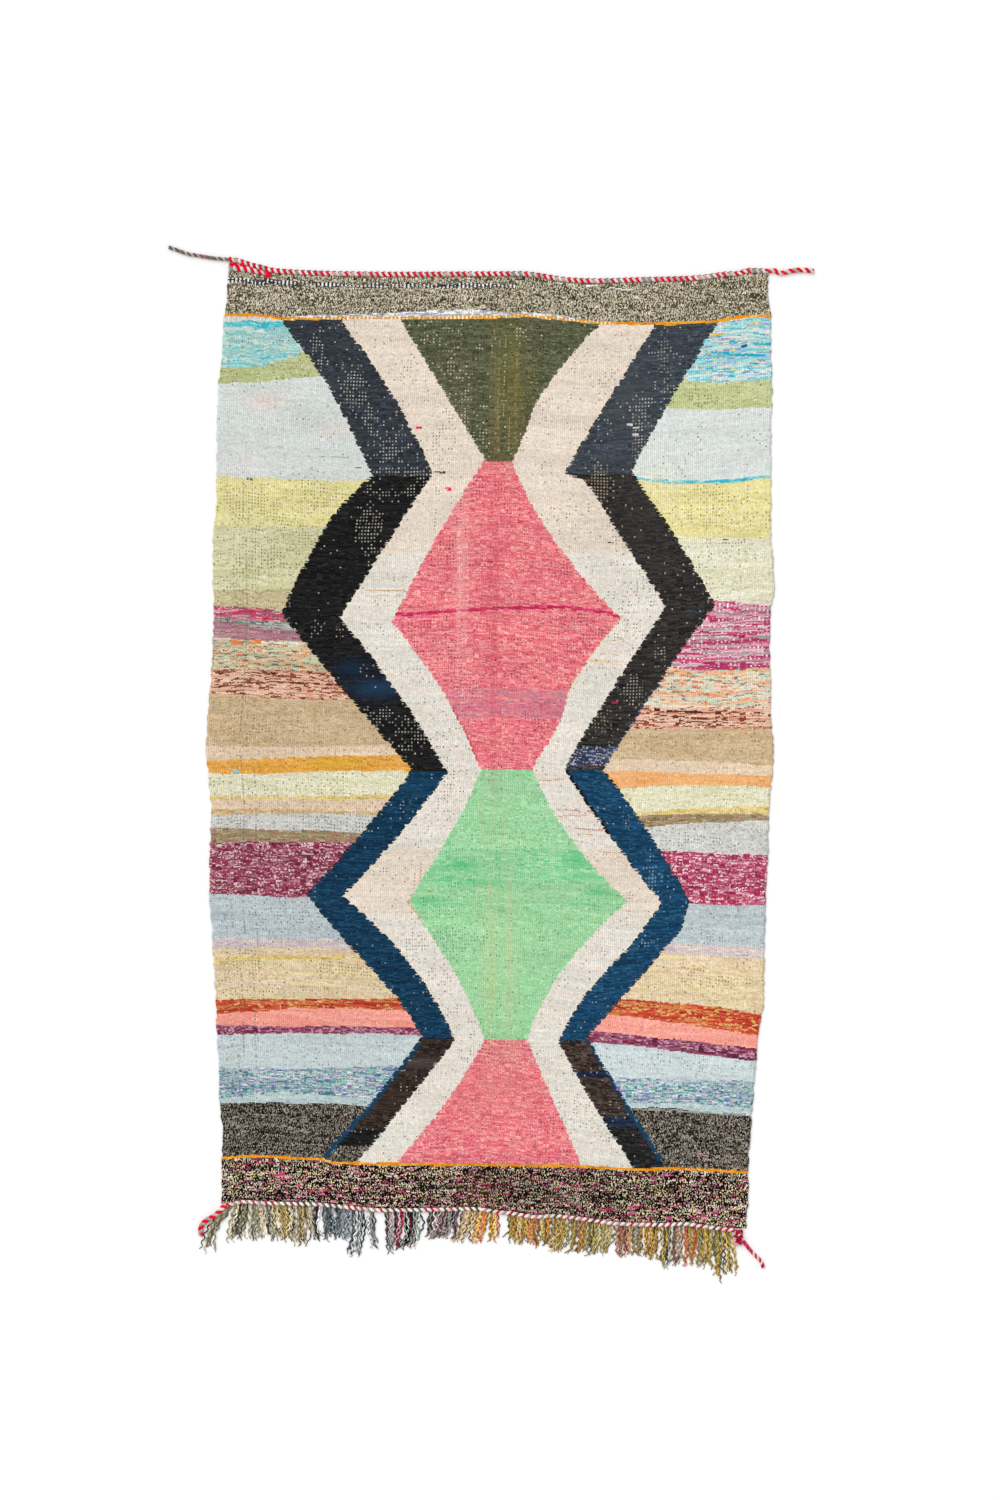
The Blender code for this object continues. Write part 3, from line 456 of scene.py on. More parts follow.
# Places where the warps show through.  Columns: across and up of the middle,
# half width, half height, added share.
WORN = (
    # dark bands at the left
    (-434, 998, 12, 20, 1.0), (-422, 955, 9, 14, 0.8), (-340, 888, 30, 48, 1.0),
    (-300, 810, 12, 36, 0.8), (-262, 735, 26, 44, 0.7), (-225, 684, 66, 8, 1.0),
    (-215, 760, 10, 26, 0.5), (-302, 545, 24, 60, 0.9), (-250, 632, 52, 8, 0.8),
    (-437, 286, 10, 12, 1.0), (-370, 282, 12, 15, 0.8), (-322, 192, 12, 9, 0.7),
    (-277, 72, 30, 22, 0.7), (-197, 25, 34, 44, 0.8), (-210, -150, 12, 24, 0.6),
    (-197, -507, 28, 26, 0.6), (-165, -600, 20, 30, 0.5), (-240, -800, 30, 20, 0.3),
    # dark bands at the right
    (270, 640, 24, 50, 1.0), (315, 520, 18, 80, 0.7), (397, 400, 14, 46, 0.8),
    (427, 222, 10, 28, 0.6), (360, 132, 22, 28, 1.0), (277, 55, 24, 36, 0.6),
    (435, 975, 14, 60, 0.6), (382, 832, 28, 34, 0.8), (370, 750, 14, 46, 0.7),
    (337, -182, 10, 46, 0.7), (407, -335, 12, 42, 0.9), (385, -487, 22, 18, 0.8),
    (240, -880, 12, 40, 0.4), (300, -990, 20, 20, 0.4),
    # the ground
    (-205, 937, 16, 28, 0.9), (-227, 857, 10, 14, 0.9), (-122, 757, 26, 42, 0.8),
    (-160, 660, 16, 30, 0.7), (-135, 600, 12, 60, 0.5), (-190, 640, 18, 50, 0.5),
    (-107, -90, 30, 70, 0.7), (-187, -325, 22, 28, 0.9), (-175, -500, 28, 36, 0.6),
    (-120, -575, 42, 22, 0.8), (-190, -860, 40, 20, 0.4), (-60, -770, 30, 30, 0.4),
    (245, 215, 26, 60, 0.3), (140, -200, 14, 80, 0.4), (220, 950, 12, 40, 0.4),
    (190, 560, 40, 70, 0.25), (120, -960, 20, 90, 0.3),
    # the centre
    (-145, 1014, 22, 10, 0.6), (-58, 830, 8, 64, 0.9), (-22, 768, 14, 26, 0.9),
    (-100, 960, 18, 40, 0.5), (120, 900, 40, 60, 0.3), (-75, 560, 12, 40, 0.5),
    (-118, 300, 16, 34, 0.9), (-88, 210, 16, 40, 0.9), (-60, 120, 30, 40, 0.8),
    (-90, -320, 44, 50, 0.7), (-60, -470, 60, 60, 0.5), (60, -260, 60, 60, 0.4),
    (-20, -760, 60, 40, 0.4), (-60, -900, 60, 60, 0.3), (60, 420, 80, 120, 0.3),
    # the stripes
    (-600, 605, 66, 34, 0.9), (-450, 620, 50, 50, 0.5), (-600, 470, 60, 60, 0.6),
    (-470, 500, 50, 40, 0.5), (-405, -135, 44, 50, 0.6), (-415, -210, 90, 12, 0.9),
    (-500, -430, 110, 34, 0.6), (-610, -540, 38, 42, 0.8), (-390, -562, 70, 9, 0.9),
    (-560, -610, 120, 9, 0.6), (-600, -720, 80, 24, 0.6), (-640, -190, 40, 10, 0.6),
    (-560, 60, 90, 40, 0.4), (560, 600, 90, 50, 0.4), (525, -237, 46, 14, 0.7),
    (590, -590, 90, 10, 0.7), (520, 870, 30, 16, 0.8), (450, 880, 30, 20, 0.6),
    (500, -790, 90, 20, 0.3), (-610, 900, 30, 20, 0.6), (-480, 940, 30, 16, 0.6),
)
WORN_FLAT = 1.6  # over 1, so that the middle of such a place is worn all over
SPOT_EDGE = 0.37  # what near() gives on a spot's own outline
BARE_LEAST = 0.07  # the share of warps that show anywhere
BARE_MORE = 0.9  # how many more show where the weave is loosest
BARE_FROM = 0.3  # how loose it is where that begins
BARE_ZONES = (1, 0.2, 1, 1, 1, 0.35, 1)  # how much each zone shows of them
# Single warps that show in dashes down a long way.  Columns: across at the head and
# at the foot, how far up it starts and ends, colour, share of it that shows.
WORN_WARPS = (
    (-607, -625, 660, -880, "7a7260", 0.5), (-585, -585, 120, -830, "7a766c", 0.35),
    (-640, -655, 560, -900, "8c8474", 0.3), (-500, -520, 480, -800, "8f8878", 0.2),
    (-440, -440, 200, -560, "968c78", 0.15), (640, 600, 600, -900, "948a7a", 0.2),
    (560, 530, 660, -500, "968e7c", 0.15), (-75, -75, 560, -60, "f4bab4", 0.5),
    (-130, -130, 380, 200, "f0b8b4", 0.35), (10, 10, 640, 0, "c85868", 0.3),
    (38, 60, 1040, 730, "b8a45c", 0.45), (62, 84, 1040, 760, "a09050", 0.3),
    (16, 36, 1040, 760, "a0904c", 0.4), (90, 110, 1030, 860, "8f8650", 0.25),
    (26, 50, -70, -700, "d0b888", 0.4), (-4, 10, -70, -720, "c4a880", 0.35),
    (-26, -26, -120, -640, "bcb48c", 0.3), (120, 120, -120, -420, "b8c890", 0.2),
)
SLIT = 2.0  # a share of bare warps that stands for one bare all along
PIN_PITCH = (1.55, 2.7)  # from one bare dot to the next, in warps and picks
# Bare warps of another colour.  Columns: across and up of the middle, half width,
# half height, colour.
BARE_DYES = (
    (270, 640, 40, 90, "b8a684"), (435, 975, 30, 80, "a89c8c"), (270, 55, 50, 60, "8f8a6c"),
    (120, 900, 90, 120, "9a8a48"), (60, 420, 90, 150, "a8505c"), (-20, -880, 160, 120, "b05060"),
)


def curve_through(rows, step):
    """Points at even steps along a smooth curve through a table's rows."""
    knots = np.array(rows, float)
    ends = np.vstack([2 * knots[0] - knots[1], knots, 2 * knots[-1] - knots[-2]])
    fine = []
    for a, b, c, d in zip(ends, ends[1:], ends[2:], ends[3:]):
        for t in np.linspace(0.0, 1.0, CURVE_SAMPLES, endpoint=False):
            fine.append(0.5 * (2 * b + (c - a) * t + (2 * a - 5 * b + 4 * c - d) * t**2
                               + (3 * b - a - 3 * c + d) * t**3))
    fine = np.array(fine + [knots[-1]])
    along = np.concatenate([[0.0], np.cumsum(np.linalg.norm(np.diff(fine, axis=0), axis=1))])
    stops = np.linspace(0.0, along[-1], max(2, round(along[-1] / step) + 1))
    return np.column_stack([np.interp(stops, along, column) for column in fine.T])


def beside(path, half_width, x):
    """How far up the edge of a cord lies at x, on the side that half_width's sign gives."""
    slope = np.gradient(path[:, 1], path[:, 0])
    return np.interp(x, path[:, 0], path[:, 1] + half_width * np.hypot(1.0, slope))


head_path, start_path, foot_path = (
    curve_through(line, cord["twist"] / EDGE_STEPS)
    for line, cord in ((HEAD_LINE, HEAD_CORD), (START_LINE, START_CORD), (FOOT_LINE, FOOT_CORD)))


def head_edge(x):
    """How far up the cloth reaches at x, under its head cord and that cord's thick start."""
    under_cord = beside(head_path, -HEAD_CORD["width"] / 2, x)
    share = np.clip((x - start_path[0, 0]) / (start_path[-1, 0] - start_path[0, 0]), 0, 1)
    wide = START_CORD["width"] + share * (START_CORD["end_width"] - START_CORD["width"])
    under_start = np.where(share < 1, beside(start_path, 0, x) - wide / 2, under_cord)
    return np.minimum(under_cord, under_start) - CORD_GAP


def foot_edge(x):
    """How far up the cloth starts at x, over its foot cord."""
    return beside(foot_path, FOOT_CORD["width"] / 2, x) + CORD_GAP


def selvedge(side, y):
    """How far across a selvedge runs at y; side is its column in the table."""
    table = np.array(SELVEDGES)[::-1]
    return np.interp(y, table[:, 0], table[:, side])


def plan_edge(edge, y):
    """Where one edge of the plan runs at y: straight from corner to corner, plus its bow."""
    rows = np.array(EDGES[edge], float)
    x = np.interp(y, rows[::-1, 1], rows[::-1, 0])
    for (_, high, bow), (_, low, _) in zip(rows, rows[1:]):
        t = np.clip((high - y) / (high - low), 0, 1)
        x = x + bow * 4 * t * (1 - t)
    return x


def stripe_tops(table, side, band, x, y):
    """How far up each stripe of a side begins at x: a curve through its three heights."""
    outer, inner = selvedge(side, y), plan_edge(band, y)
    s = np.clip((x - outer) / (inner - outer), 0, 1)
    return [begin * (1 - s) * (1 - 2 * s) + half_way * 4 * s * (1 - s) + end * s * (2 * s - 1)
            for begin, half_way, end, _ in table]


def weft_bend(x, y):
    """How many picks the wefts have slid down at a point, where stripes run askew."""
    bend = np.zeros_like(x)
    for _, table, side, band, way in SIDES:
        tops = stripe_tops(table, side, band, x, y)
        slides = [top - row[1] for top, row in zip(tops, table)]
        tops.append(np.full_like(x, STRIPES_END))
        slides.append(np.zeros_like(x))
        fade = np.clip(1 - way * (x - plan_edge(band, y)) / BEND_FADE, 0, 1)
        for high, low, first, last in zip(tops, tops[1:], slides, slides[1:]):
            t = (high - y) / np.maximum(high - low, 1)
            bend = np.where((t >= 0) & (t < 1), (first + (last - first) * t) * fade, bend)
    return bend / PICK_PITCH


# The grid follows the weave: u counts warps from the left selvedge, and v picks
# from the head cord, so both selvedges and both cords pull its lines askew.
warp_lines = np.array([0, 1, *range(COLUMN, WARPS - 2, COLUMN), WARPS - 1, WARPS])
U, V = np.meshgrid(warp_lines.astype(float), np.arange(PICKS + 1.0))
X = ROUGH_SIDES[0] + (ROUGH_SIDES[1] - ROUGH_SIDES[0]) * U / WARPS
for _ in range(SETTLE_PASSES):
    Y = head_edge(X) + (foot_edge(X) - head_edge(X)) * V / PICKS
    X = selvedge(1, Y) + (selvedge(2, Y) - selvedge(1, Y)) * U / WARPS
columns = len(warp_lines) - 1
loom = np.random.default_rng(11)


def drift(picks, wide, shape=(PICKS, columns)):
    """A soft random field from -1 to 1 that changes over so many picks and columns."""
    coarse = loom.uniform(-1, 1, (shape[0] // picks + 3, shape[1] // wide + 3))
    rows, cols = np.arange(shape[0]) / picks, np.arange(shape[1]) / wide
    i, j = rows.astype(int), cols.astype(int)
    s, t = ((f * f * (3 - 2 * f)) for f in (rows - i, cols - j))
    near = coarse[i][:, j] * (1 - t) + coarse[i][:, j + 1] * t
    far = coarse[i + 1][:, j] * (1 - t) + coarse[i + 1][:, j + 1] * t
    return near * (1 - s[:, None]) + far * s[:, None]


def middles(grid):
    """The mean of each face's four corners."""
    return (grid[1:, 1:] + grid[1:, :-1] + grid[:-1, 1:] + grid[:-1, :-1]) / 4


BEND = weft_bend(X, Y) + WAVER * drift(28, 8, X.shape)
face_x, face_y = middles(X), middles(Y)
weft = np.clip(np.round(middles(BEND) + np.arange(PICKS)[:, None]), 0, PICKS - 1).astype(int)


def runs(picks, wide):
    """Random numbers from 0 to 1, one for each run of so many picks and columns."""
    values = loom.random((PICKS // picks + 1, columns // wide + 3))
    row = weft // picks
    start = loom.random(len(values))[row] * wide
    return values[row, ((np.arange(columns) + start) / wide).astype(int)]


def linear(hex_colour):
    """An sRGB hex colour as linear red, green and blue."""
    parts = (int(hex_colour[i:i + 2], 16) / 255 for i in (0, 2, 4))
    return [c / 12.92 if c <= 0.04045 else ((c + 0.055) / 1.055) ** 2.4 for c in parts]


def dyes(hex_colours):
    """A string of hex colours as rows of linear ones."""
    return np.array([linear(word) for word in hex_colours.split()])


# Selvedges: the wefts turn back round the outer warps in small uneven loops.
turns = drift(3, 1, (PICKS + 1, 2)) * SELVEDGE_BUMP
X[:, 0] += turns[:, 0]
X[:, -1] += turns[:, 1]
lie = drift(60, 14, X.shape) + 0.5 * drift(18, 5, X.shape)
rim = np.minimum(np.minimum(U, WARPS - U), np.minimum(V, PICKS - V))
Z = CLOTH_THICK + RIPPLE * lie * np.clip(rim / FLAT_RIM, 0, 1)
Z = np.where(rim < 1, EDGE_THICK, np.where(rim < 2, SHOULDER_THICK, Z))
Z_UNDER = np.where(rim < 1, UNDER_LIFT, 0.0)

# What a face keeps of its yarn.  The fourth number of each colour says how the weave
# uses it: the flecks' share, their run in warps, the share of bare warps that show
# as pins, and a rim's width in warps.
PARTS = ("ground", "fleck", "pin", "rim")
GROUND_DYE, FLECK_DYE, PIN_DYE, RIM_DYE = range(len(PARTS))


def spun(yarn):
    """The parts of every face, as if all were woven in one yarn."""
    grounds, picks, wide, flecks, share, run, pin, pins = YARNS[yarn]
    made = np.zeros((len(PARTS), PICKS, columns, 4))
    grounds, flecks = dyes(grounds), dyes(flecks)
    tone = (1 + TONES[0] * drift(12, 8) + TONES[1] * drift(2, 10))[..., None]
    batch = np.clip(runs(picks, wide) + BATCH_BLUR * drift(5, 12), 0, 0.999) * len(grounds)
    dotted = 1.0 if share > 1 else 0.0
    share = (share - dotted) * (1 + FLECK_SPREAD[int(run >= 1)] * (runs(1, 24) - 0.5))
    made[GROUND_DYE, ..., :3] = grounds[batch.astype(int)] * tone
    made[GROUND_DYE, ..., 3] = dotted + np.clip(share, 0, 0.97)
    made[FLECK_DYE, ..., :3] = flecks[(runs(1, 1) * len(flecks)).astype(int)] * tone
    made[FLECK_DYE, ..., 3] = run
    made[PIN_DYE, ..., :3] = dyes(pin)[0]
    made[PIN_DYE, ..., 3] = pins
    return made


def lay(zone, where, yarn):
    """Weaves a yarn into one zone, at the faces that where picks out."""
    zone[:, where] = spun(yarn)[:, where]


# The seven zones from left to right: stripes, band, ground, centre and back.
zones = np.zeros((len(EDGES) + 1, len(PARTS), PICKS, columns, 4))
for zone, table, side, band, _ in SIDES:
    for top, row in zip(stripe_tops(table, side, band, face_x, face_y), table):
        strays = STRIPE_WAVERS[0] * drift(PICKS, 7) + STRIPE_WAVERS[1] * drift(PICKS, 2)
        lay(zones[zone], face_y < top + strays, row[3])
for zone, table in ((1, LEFT_BAND), (2, GROUND), (3, CENTRE), (5, RIGHT_BAND)):
    for begin, yarn in table:
        lay(zones[zone], face_y < begin + BAND_WAVER * drift(PICKS, 3), yarn)
zones[4] = zones[2]
for zone, shade in SHADES.items():
    zones[zone, :PIN_DYE, ..., :3] *= shade


def row_at(line):
    """How far up a line of the tables runs at each face."""
    return np.interp(face_x, *np.array(line).T)


lay(zones[3], abs(face_y - row_at(MAGENTA_LINE)) < MAGENTA_ROW / 2, "magenta_row")
head_row, foot_row = row_at(HEAD_ORANGE), row_at(FOOT_ORANGE)
in_head_row = abs(face_y - head_row) < ORANGE_ROW / 2
in_foot_row = abs(face_y - foot_row) < ORANGE_ROW / 2
pick_of_face = np.arange(PICKS)[:, None] + np.zeros((1, columns))
stitched = (pick_of_face >= STITCH_ROWS[0]) & (pick_of_face <= STITCH_ROWS[1])
stitched &= (face_x < STITCH_ENDS[0]) | (runs(1, 3) > STITCH_GAPS) & (face_x < STITCH_ENDS[1])
for where, yarn in (
    (face_y > head_row, "head_tweed"),
    ((face_y > head_row) & (face_y < head_row + row_at(WHITISH)), "whitish"),
    (stitched, "black_and_white"),
    (face_y < foot_row, "foot_tweed"),
    (in_head_row, "orange_row"),
    (in_head_row & (face_x > ORANGE_DOTTED[0]) & (face_x < ORANGE_DOTTED[1]), "dotted_orange"),
    (in_foot_row, "orange_row"),
):
    for zone in zones:
        lay(zone, where, yarn)

plan_edges = range(len(EDGES))
nearest = np.array([abs(face_x - plan_edge(edge, face_y)) for edge in plan_edges]).argmin(axis=0)
in_plan = (face_y < head_row) & (face_y > foot_row)
for zone, edges, high, low, colour, wide in RIMS:
    where = np.isin(nearest, edges) & (face_y < high) & (face_y > low) & in_plan
    zones[zone, RIM_DYE, where] = [*linear(colour), wide]


def near(x, y, half_wide, half_high):
    """How close each face is to a spot: 1 in its middle, and fading softly."""
    return np.exp(-((face_x - x) / half_wide) ** 2 - ((face_y - y) / half_high) ** 2)


def zones_at(x, y):
    """The zones that share a spot: one inside the plan, and all in the bands at its ends."""
    if not PLAN_ENDS[0] < y < PLAN_ENDS[1]:
        return range(len(zones))
    return [sum(int(x > plan_edge(edge, y)) for edge in plan_edges)]


# Odd wefts and slubs.
slubs = []
slub_dyes = SLUBS["dyes"].split()
for _ in range(SLUBS["count"]):
    x = loom.uniform(*SLUBS["across"])
    y = np.interp(x, *np.array(FOOT_ORANGE).T) - loom.uniform(*SLUBS["under_orange"])
    colour = slub_dyes[loom.integers(len(slub_dyes))]
    x_end, thick = x + loom.uniform(*SLUBS["length"]), loom.uniform(*SLUBS["thick"])
    slubs.append((x, y, x_end, y - 1, thick, colour, SLUBS["shows"]))
for x0, y0, x1, y1, thick, colour, share in ODD_WEFTS + tuple(slubs):
    off_centre = face_x - (x0 + x1) / 2
    middle = (y0 + y1) / 2 + (y1 - y0) * off_centre / (x1 - x0) + ODD_WAVER * drift(PICKS, 4)
    where = ((abs(off_centre) < max(x1 - x0, COLUMN * WARP_PITCH) / 2) & (runs(1, 1) < share)
             & (abs(face_y - middle) < max(thick, PICK_PITCH) / 2) & ~in_head_row & ~in_foot_row)
    for zone in zones_at((x0 + x1) / 2, (y0 + y1) / 2):
        zones[zone, GROUND_DYE, where] = [*linear(colour), ODD_FLECKS]

# Stains, and the warps that show where the wefts are worn.
for x, y, half_wide, half_high, colour, strength in STAINS:
    taken = STAIN_TAKES[0] + STAIN_TAKES[1] * runs(1, 2)
    share = (strength * near(x, y, half_wide, half_high) * taken)[..., None]
    for zone in zones_at(x, y):
        yarns = zones[zone, :PIN_DYE, ..., :3]
        yarns += (np.array(linear(colour)) - yarns) * np.clip(share, 0, 1)
bare = BARE_LEAST + BARE_MORE * np.clip(drift(14, 5) + 0.6 * drift(5, 2) - BARE_FROM, 0, 1)
worn = bare * np.array(BARE_ZONES)[:, None, None]
for x, y, half_wide, half_high, share in WORN:
    for zone in zones_at(x, y):
        worn[zone] += share * np.clip(WORN_FLAT * near(x, y, half_wide, half_high), 0, 1)
zones[:, PIN_DYE, ..., 3] *= np.clip(worn, 0, 1)
for x, y, half_wide, half_high, colour in BARE_DYES:
    for zone in zones_at(x, y):
        in_spot = near(x, y, half_wide, half_high) > SPOT_EDGE
        zones[zone, PIN_DYE, in_spot, :3] = linear(colour)
head_end, foot_end = SELVEDGES[0][0], SELVEDGES[-1][0]
for at_head, at_foot, high, low, colour, share in WORN_WARPS:
    middle = at_foot + (at_head - at_foot) * (face_y - foot_end) / (head_end - foot_end)
    where = (abs(face_x - middle) < COLUMN * WARP_PITCH / 2) & (face_y < high) & (face_y > low)
    zones[:, PIN_DYE, where & (runs(1, 1) < share)] = [*linear(colour), SLIT]

# Each face keeps the yarns on both sides of the plan's nearest edge, and how far
# off that edge lies, so the weave can step from one to the other tooth by tooth.
off_edge = np.array([(X - plan_edge(edge, Y)) / WARP_PITCH for edge in plan_edges])
row, col = np.mgrid[0:PICKS, 0:columns]
sides = {"left": zones[nearest, :, row, col], "right": zones[nearest + 1, :, row, col]}

across = len(warp_lines)
under_rows = PICKS // UNDER_ROW
first_under = X.size
under_row, under_col = np.mgrid[0:under_rows, 0:columns]
top_corner = row * across + col
low_corner = first_under + under_row * across + under_col
quads = np.vstack([
    np.dstack([top_corner, top_corner + across, top_corner + across + 1, top_corner + 1]
              ).reshape(-1, 4),
    np.dstack([low_corner, low_corner + 1, low_corner + across + 1, low_corner + across]
              ).reshape(-1, 4),
])
quad_row = np.concatenate([row.ravel(), (under_row * UNDER_ROW + 1).ravel()])
quad_col = np.concatenate([col.ravel(), under_col.ravel()])
grid_of = np.arange(X.size + X[::UNDER_ROW].size)
grid_row = np.where(grid_of < X.size, grid_of // across,
                    (grid_of - X.size) // across * UNDER_ROW)
grid_col = grid_of % across
seam_at = (nearest[quad_row, quad_col][:, None], grid_row[quads], grid_col[quads])
seams = off_edge[seam_at]
slopes = np.gradient(off_edge, axis=1)[seam_at]

# Walls of turned weft close the cloth all round.
FAR = 99.0  # warps, past any seam
LEFT_WALL, RIGHT_WALL, HEAD_WALL, FOOT_WALL = range(4)
faces, walls, wall_seams = quads.tolist(), [], []


def wall(side, corners, at_row, at_col, seam=FAR):
    """Adds a face of a wall, which shows the yarn of one row and column of the top."""
    faces.append(corners)
    walls.append((side, at_row, at_col, len(corners)))
    wall_seams.extend([seam] * len(corners))


for k in range(under_rows):
    top, low = k * UNDER_ROW * across, first_under + k * across
    steps = [top + n * across for n in range(UNDER_ROW + 1)]
    middle_row, edge = k * UNDER_ROW + 1, across - 1
    wall(LEFT_WALL, [steps[0], low, low + across, *steps[:0:-1]], middle_row, 0, -FAR)
    wall(RIGHT_WALL, [*(step + edge for step in steps), low + across + edge, low + edge],
         middle_row, columns - 1)
for j in range(columns):
    top, low = PICKS * across + j, first_under + under_rows * across + j
    wall(HEAD_WALL, [j + 1, first_under + j + 1, first_under + j, j], 0, j)
    wall(FOOT_WALL, [top, low, low + 1, top + 1], PICKS - 1, j)
wall_sides, wall_rows, wall_cols, wall_sizes = np.array(walls).T

corner_points = np.vstack([
    np.column_stack([X.ravel(), Y.ravel(), Z.ravel()]),
    np.column_stack([X[::UNDER_ROW].ravel(), Y[::UNDER_ROW].ravel(), Z_UNDER[::UNDER_ROW].ravel()]),
])


def to_model(points):
    """Points of the tables, in millimetres, as points of the model, in metres."""
    return (np.asarray(points) + np.array([*FIELD_MIDDLE, 0.0])) * MM


def put(mesh, name, kind, domain, values):
    """Stores one value for each point, corner or face, for the material to read."""
    stored = mesh.attributes.new(name, kind, domain)
    field = {"FLOAT_COLOR": "color", "FLOAT_VECTOR": "vector"}[kind]
    stored.data.foreach_set(field, np.asarray(values, np.float32).ravel())


cloth_mesh = bpy.data.meshes.new("woven_cloth_yarn")
cloth_mesh.from_pydata(to_model(corner_points), [], faces)
cloth_mesh.shade_smooth()
put(cloth_mesh, "weave", "FLOAT_VECTOR", "POINT",
    np.column_stack([U[grid_row, grid_col], V[grid_row, grid_col], BEND[grid_row, grid_col]]))
seam_values = np.concatenate([seams.ravel(), wall_seams])
depths = np.array(TOOTH_DEPTHS)[nearest[quad_row, quad_col]]
unstepped = np.zeros(len(wall_seams))
put(cloth_mesh, "seam", "FLOAT_VECTOR", "CORNER",
    np.column_stack([seam_values, np.concatenate([np.repeat(depths, 4), unstepped]),
                     np.concatenate([slopes.ravel() * STEP_SHARE * TOOTH_PICKS, unstepped])]))
all_rows = np.concatenate([quad_row, wall_rows])
all_cols = np.concatenate([quad_col, wall_cols])
for side, painted in sides.items():
    for part, name in enumerate(PARTS):
        put(cloth_mesh, f"{side}_{name}", "FLOAT_COLOR", "FACE",
            painted[all_rows, all_cols, part])

# A flat map of the cloth: the top on its left half, the underside on
# its right, and the walls in strips between and above them.
MAP_LEFT, MAP_WIDE = 0.005, 0.480  # of the top; the underside mirrors it
MAP_HEAD, MAP_HIGH = 0.985, 0.980
MAP_STRIPS = {LEFT_WALL: 0.489, RIGHT_WALL: 0.503, HEAD_WALL: 0.988, FOOT_WALL: 0.994}
STRIP_WIDE, STRIP_HIGH = 0.006, 0.003  # of the upright strips, and of the level ones
top_u = MAP_LEFT + MAP_WIDE * U[grid_row, grid_col] / WARPS
map_u = np.where(grid_of < X.size, top_u, 1.0 - top_u)
map_v = MAP_HEAD - MAP_HIGH * V[grid_row, grid_col] / PICKS
flat_map = cloth_mesh.uv_layers.new(name="OFBake")
corner_of = np.array([corner for face in faces for corner in face])
spots = np.column_stack([map_u[corner_of], map_v[corner_of]])
wall_corners = corner_of[quads.size:]
is_low = wall_corners >= first_under
side_of = np.repeat(wall_sides, wall_sizes)
upright = (side_of == LEFT_WALL) | (side_of == RIGHT_WALL)
strip = np.array([MAP_STRIPS[side] for side in side_of])
spots[quads.size:, 0] = np.where(upright, strip + STRIP_WIDE * is_low, top_u[wall_corners])
spots[quads.size:, 1] = np.where(upright, map_v[wall_corners], strip + STRIP_HIGH * is_low)
flat_map.data.foreach_set("uv", spots.astype(np.float32).ravel())


def node(tree, kind, settings, inputs):
    """Adds one shader node, with its settings and its inputs: sockets are linked, values set."""
    made = tree.nodes.new("ShaderNode" + kind)
    for name, value in settings.items():
        setattr(made, name, value)
    for socket, value in inputs.items():
        if isinstance(value, bpy.types.NodeSocket):
            tree.links.new(value, made.inputs[socket])
        else:
            made.inputs[socket].default_value = value
    return made


def steps_of(tree, at, table):
    """Adds a chain of nodes.  Columns: name, kind, operation, and inputs by name or value."""
    for name, kind, operation, *inputs in table:
        settings = {"operation": operation} if operation else {}
        sockets = {i: at[value] if isinstance(value, str) else value
                   for i, value in enumerate(inputs)}
        at[name] = node(tree, kind, settings, sockets).outputs[0]


def arch(name, fraction):
    """Steps that bend a fraction into a half wave: 0 at its ends and 1 midway."""
    return ((f"{name}_turn", "Math", "MULTIPLY", fraction, math.pi),
            (name, "Math", "SINE", f"{name}_turn"))


def chance_of(name, *cell):
    """Steps that give each cell of the weave a random number; the third value is a seed."""
    return ((f"{name}_cell", "CombineXYZ", None, *cell),
            (name, "TexWhiteNoise", None, f"{name}_cell"))


def textile(name):
    """A matt yarn: rough, with the usual IOR of wool, and little shine as its fibres scatter."""
    made = bpy.data.materials.new(name)
    made.use_nodes = True
    shader = made.node_tree.nodes["Principled BSDF"]
    for socket, value in (("Roughness", 0.95), ("IOR", 1.53), ("Specular IOR Level", 0.08)):
        shader.inputs[socket].default_value = value
    return made, made.node_tree


def dye_and_raise(tree, at, colour, deep):
    """Gives the yarn its shaded colour, and its relief, which is so many metres deep."""
    shader = tree.nodes["Principled BSDF"]
    shaded = node(tree, "VectorMath", {"operation": "SCALE"}, {0: colour, 3: at["shade"]})
    relief = node(tree, "Bump", {}, {"Strength": 0.5, "Distance": deep, "Height": at["relief"]})
    tree.links.new(shaded.outputs[0], shader.inputs["Base Color"])
    tree.links.new(relief.outputs[0], shader.inputs["Normal"])


def rug_piece(mesh, material, slot, *nodes):
    """Makes one piece of the rug from its mesh, in place of its CAD nodes."""
    made = bpy.data.objects.new(mesh.name, mesh)
    bpy.context.scene.collection.objects.link(made)
    made.data.materials.append(material)
    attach(made, "root")
    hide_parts(*nodes)
    return made
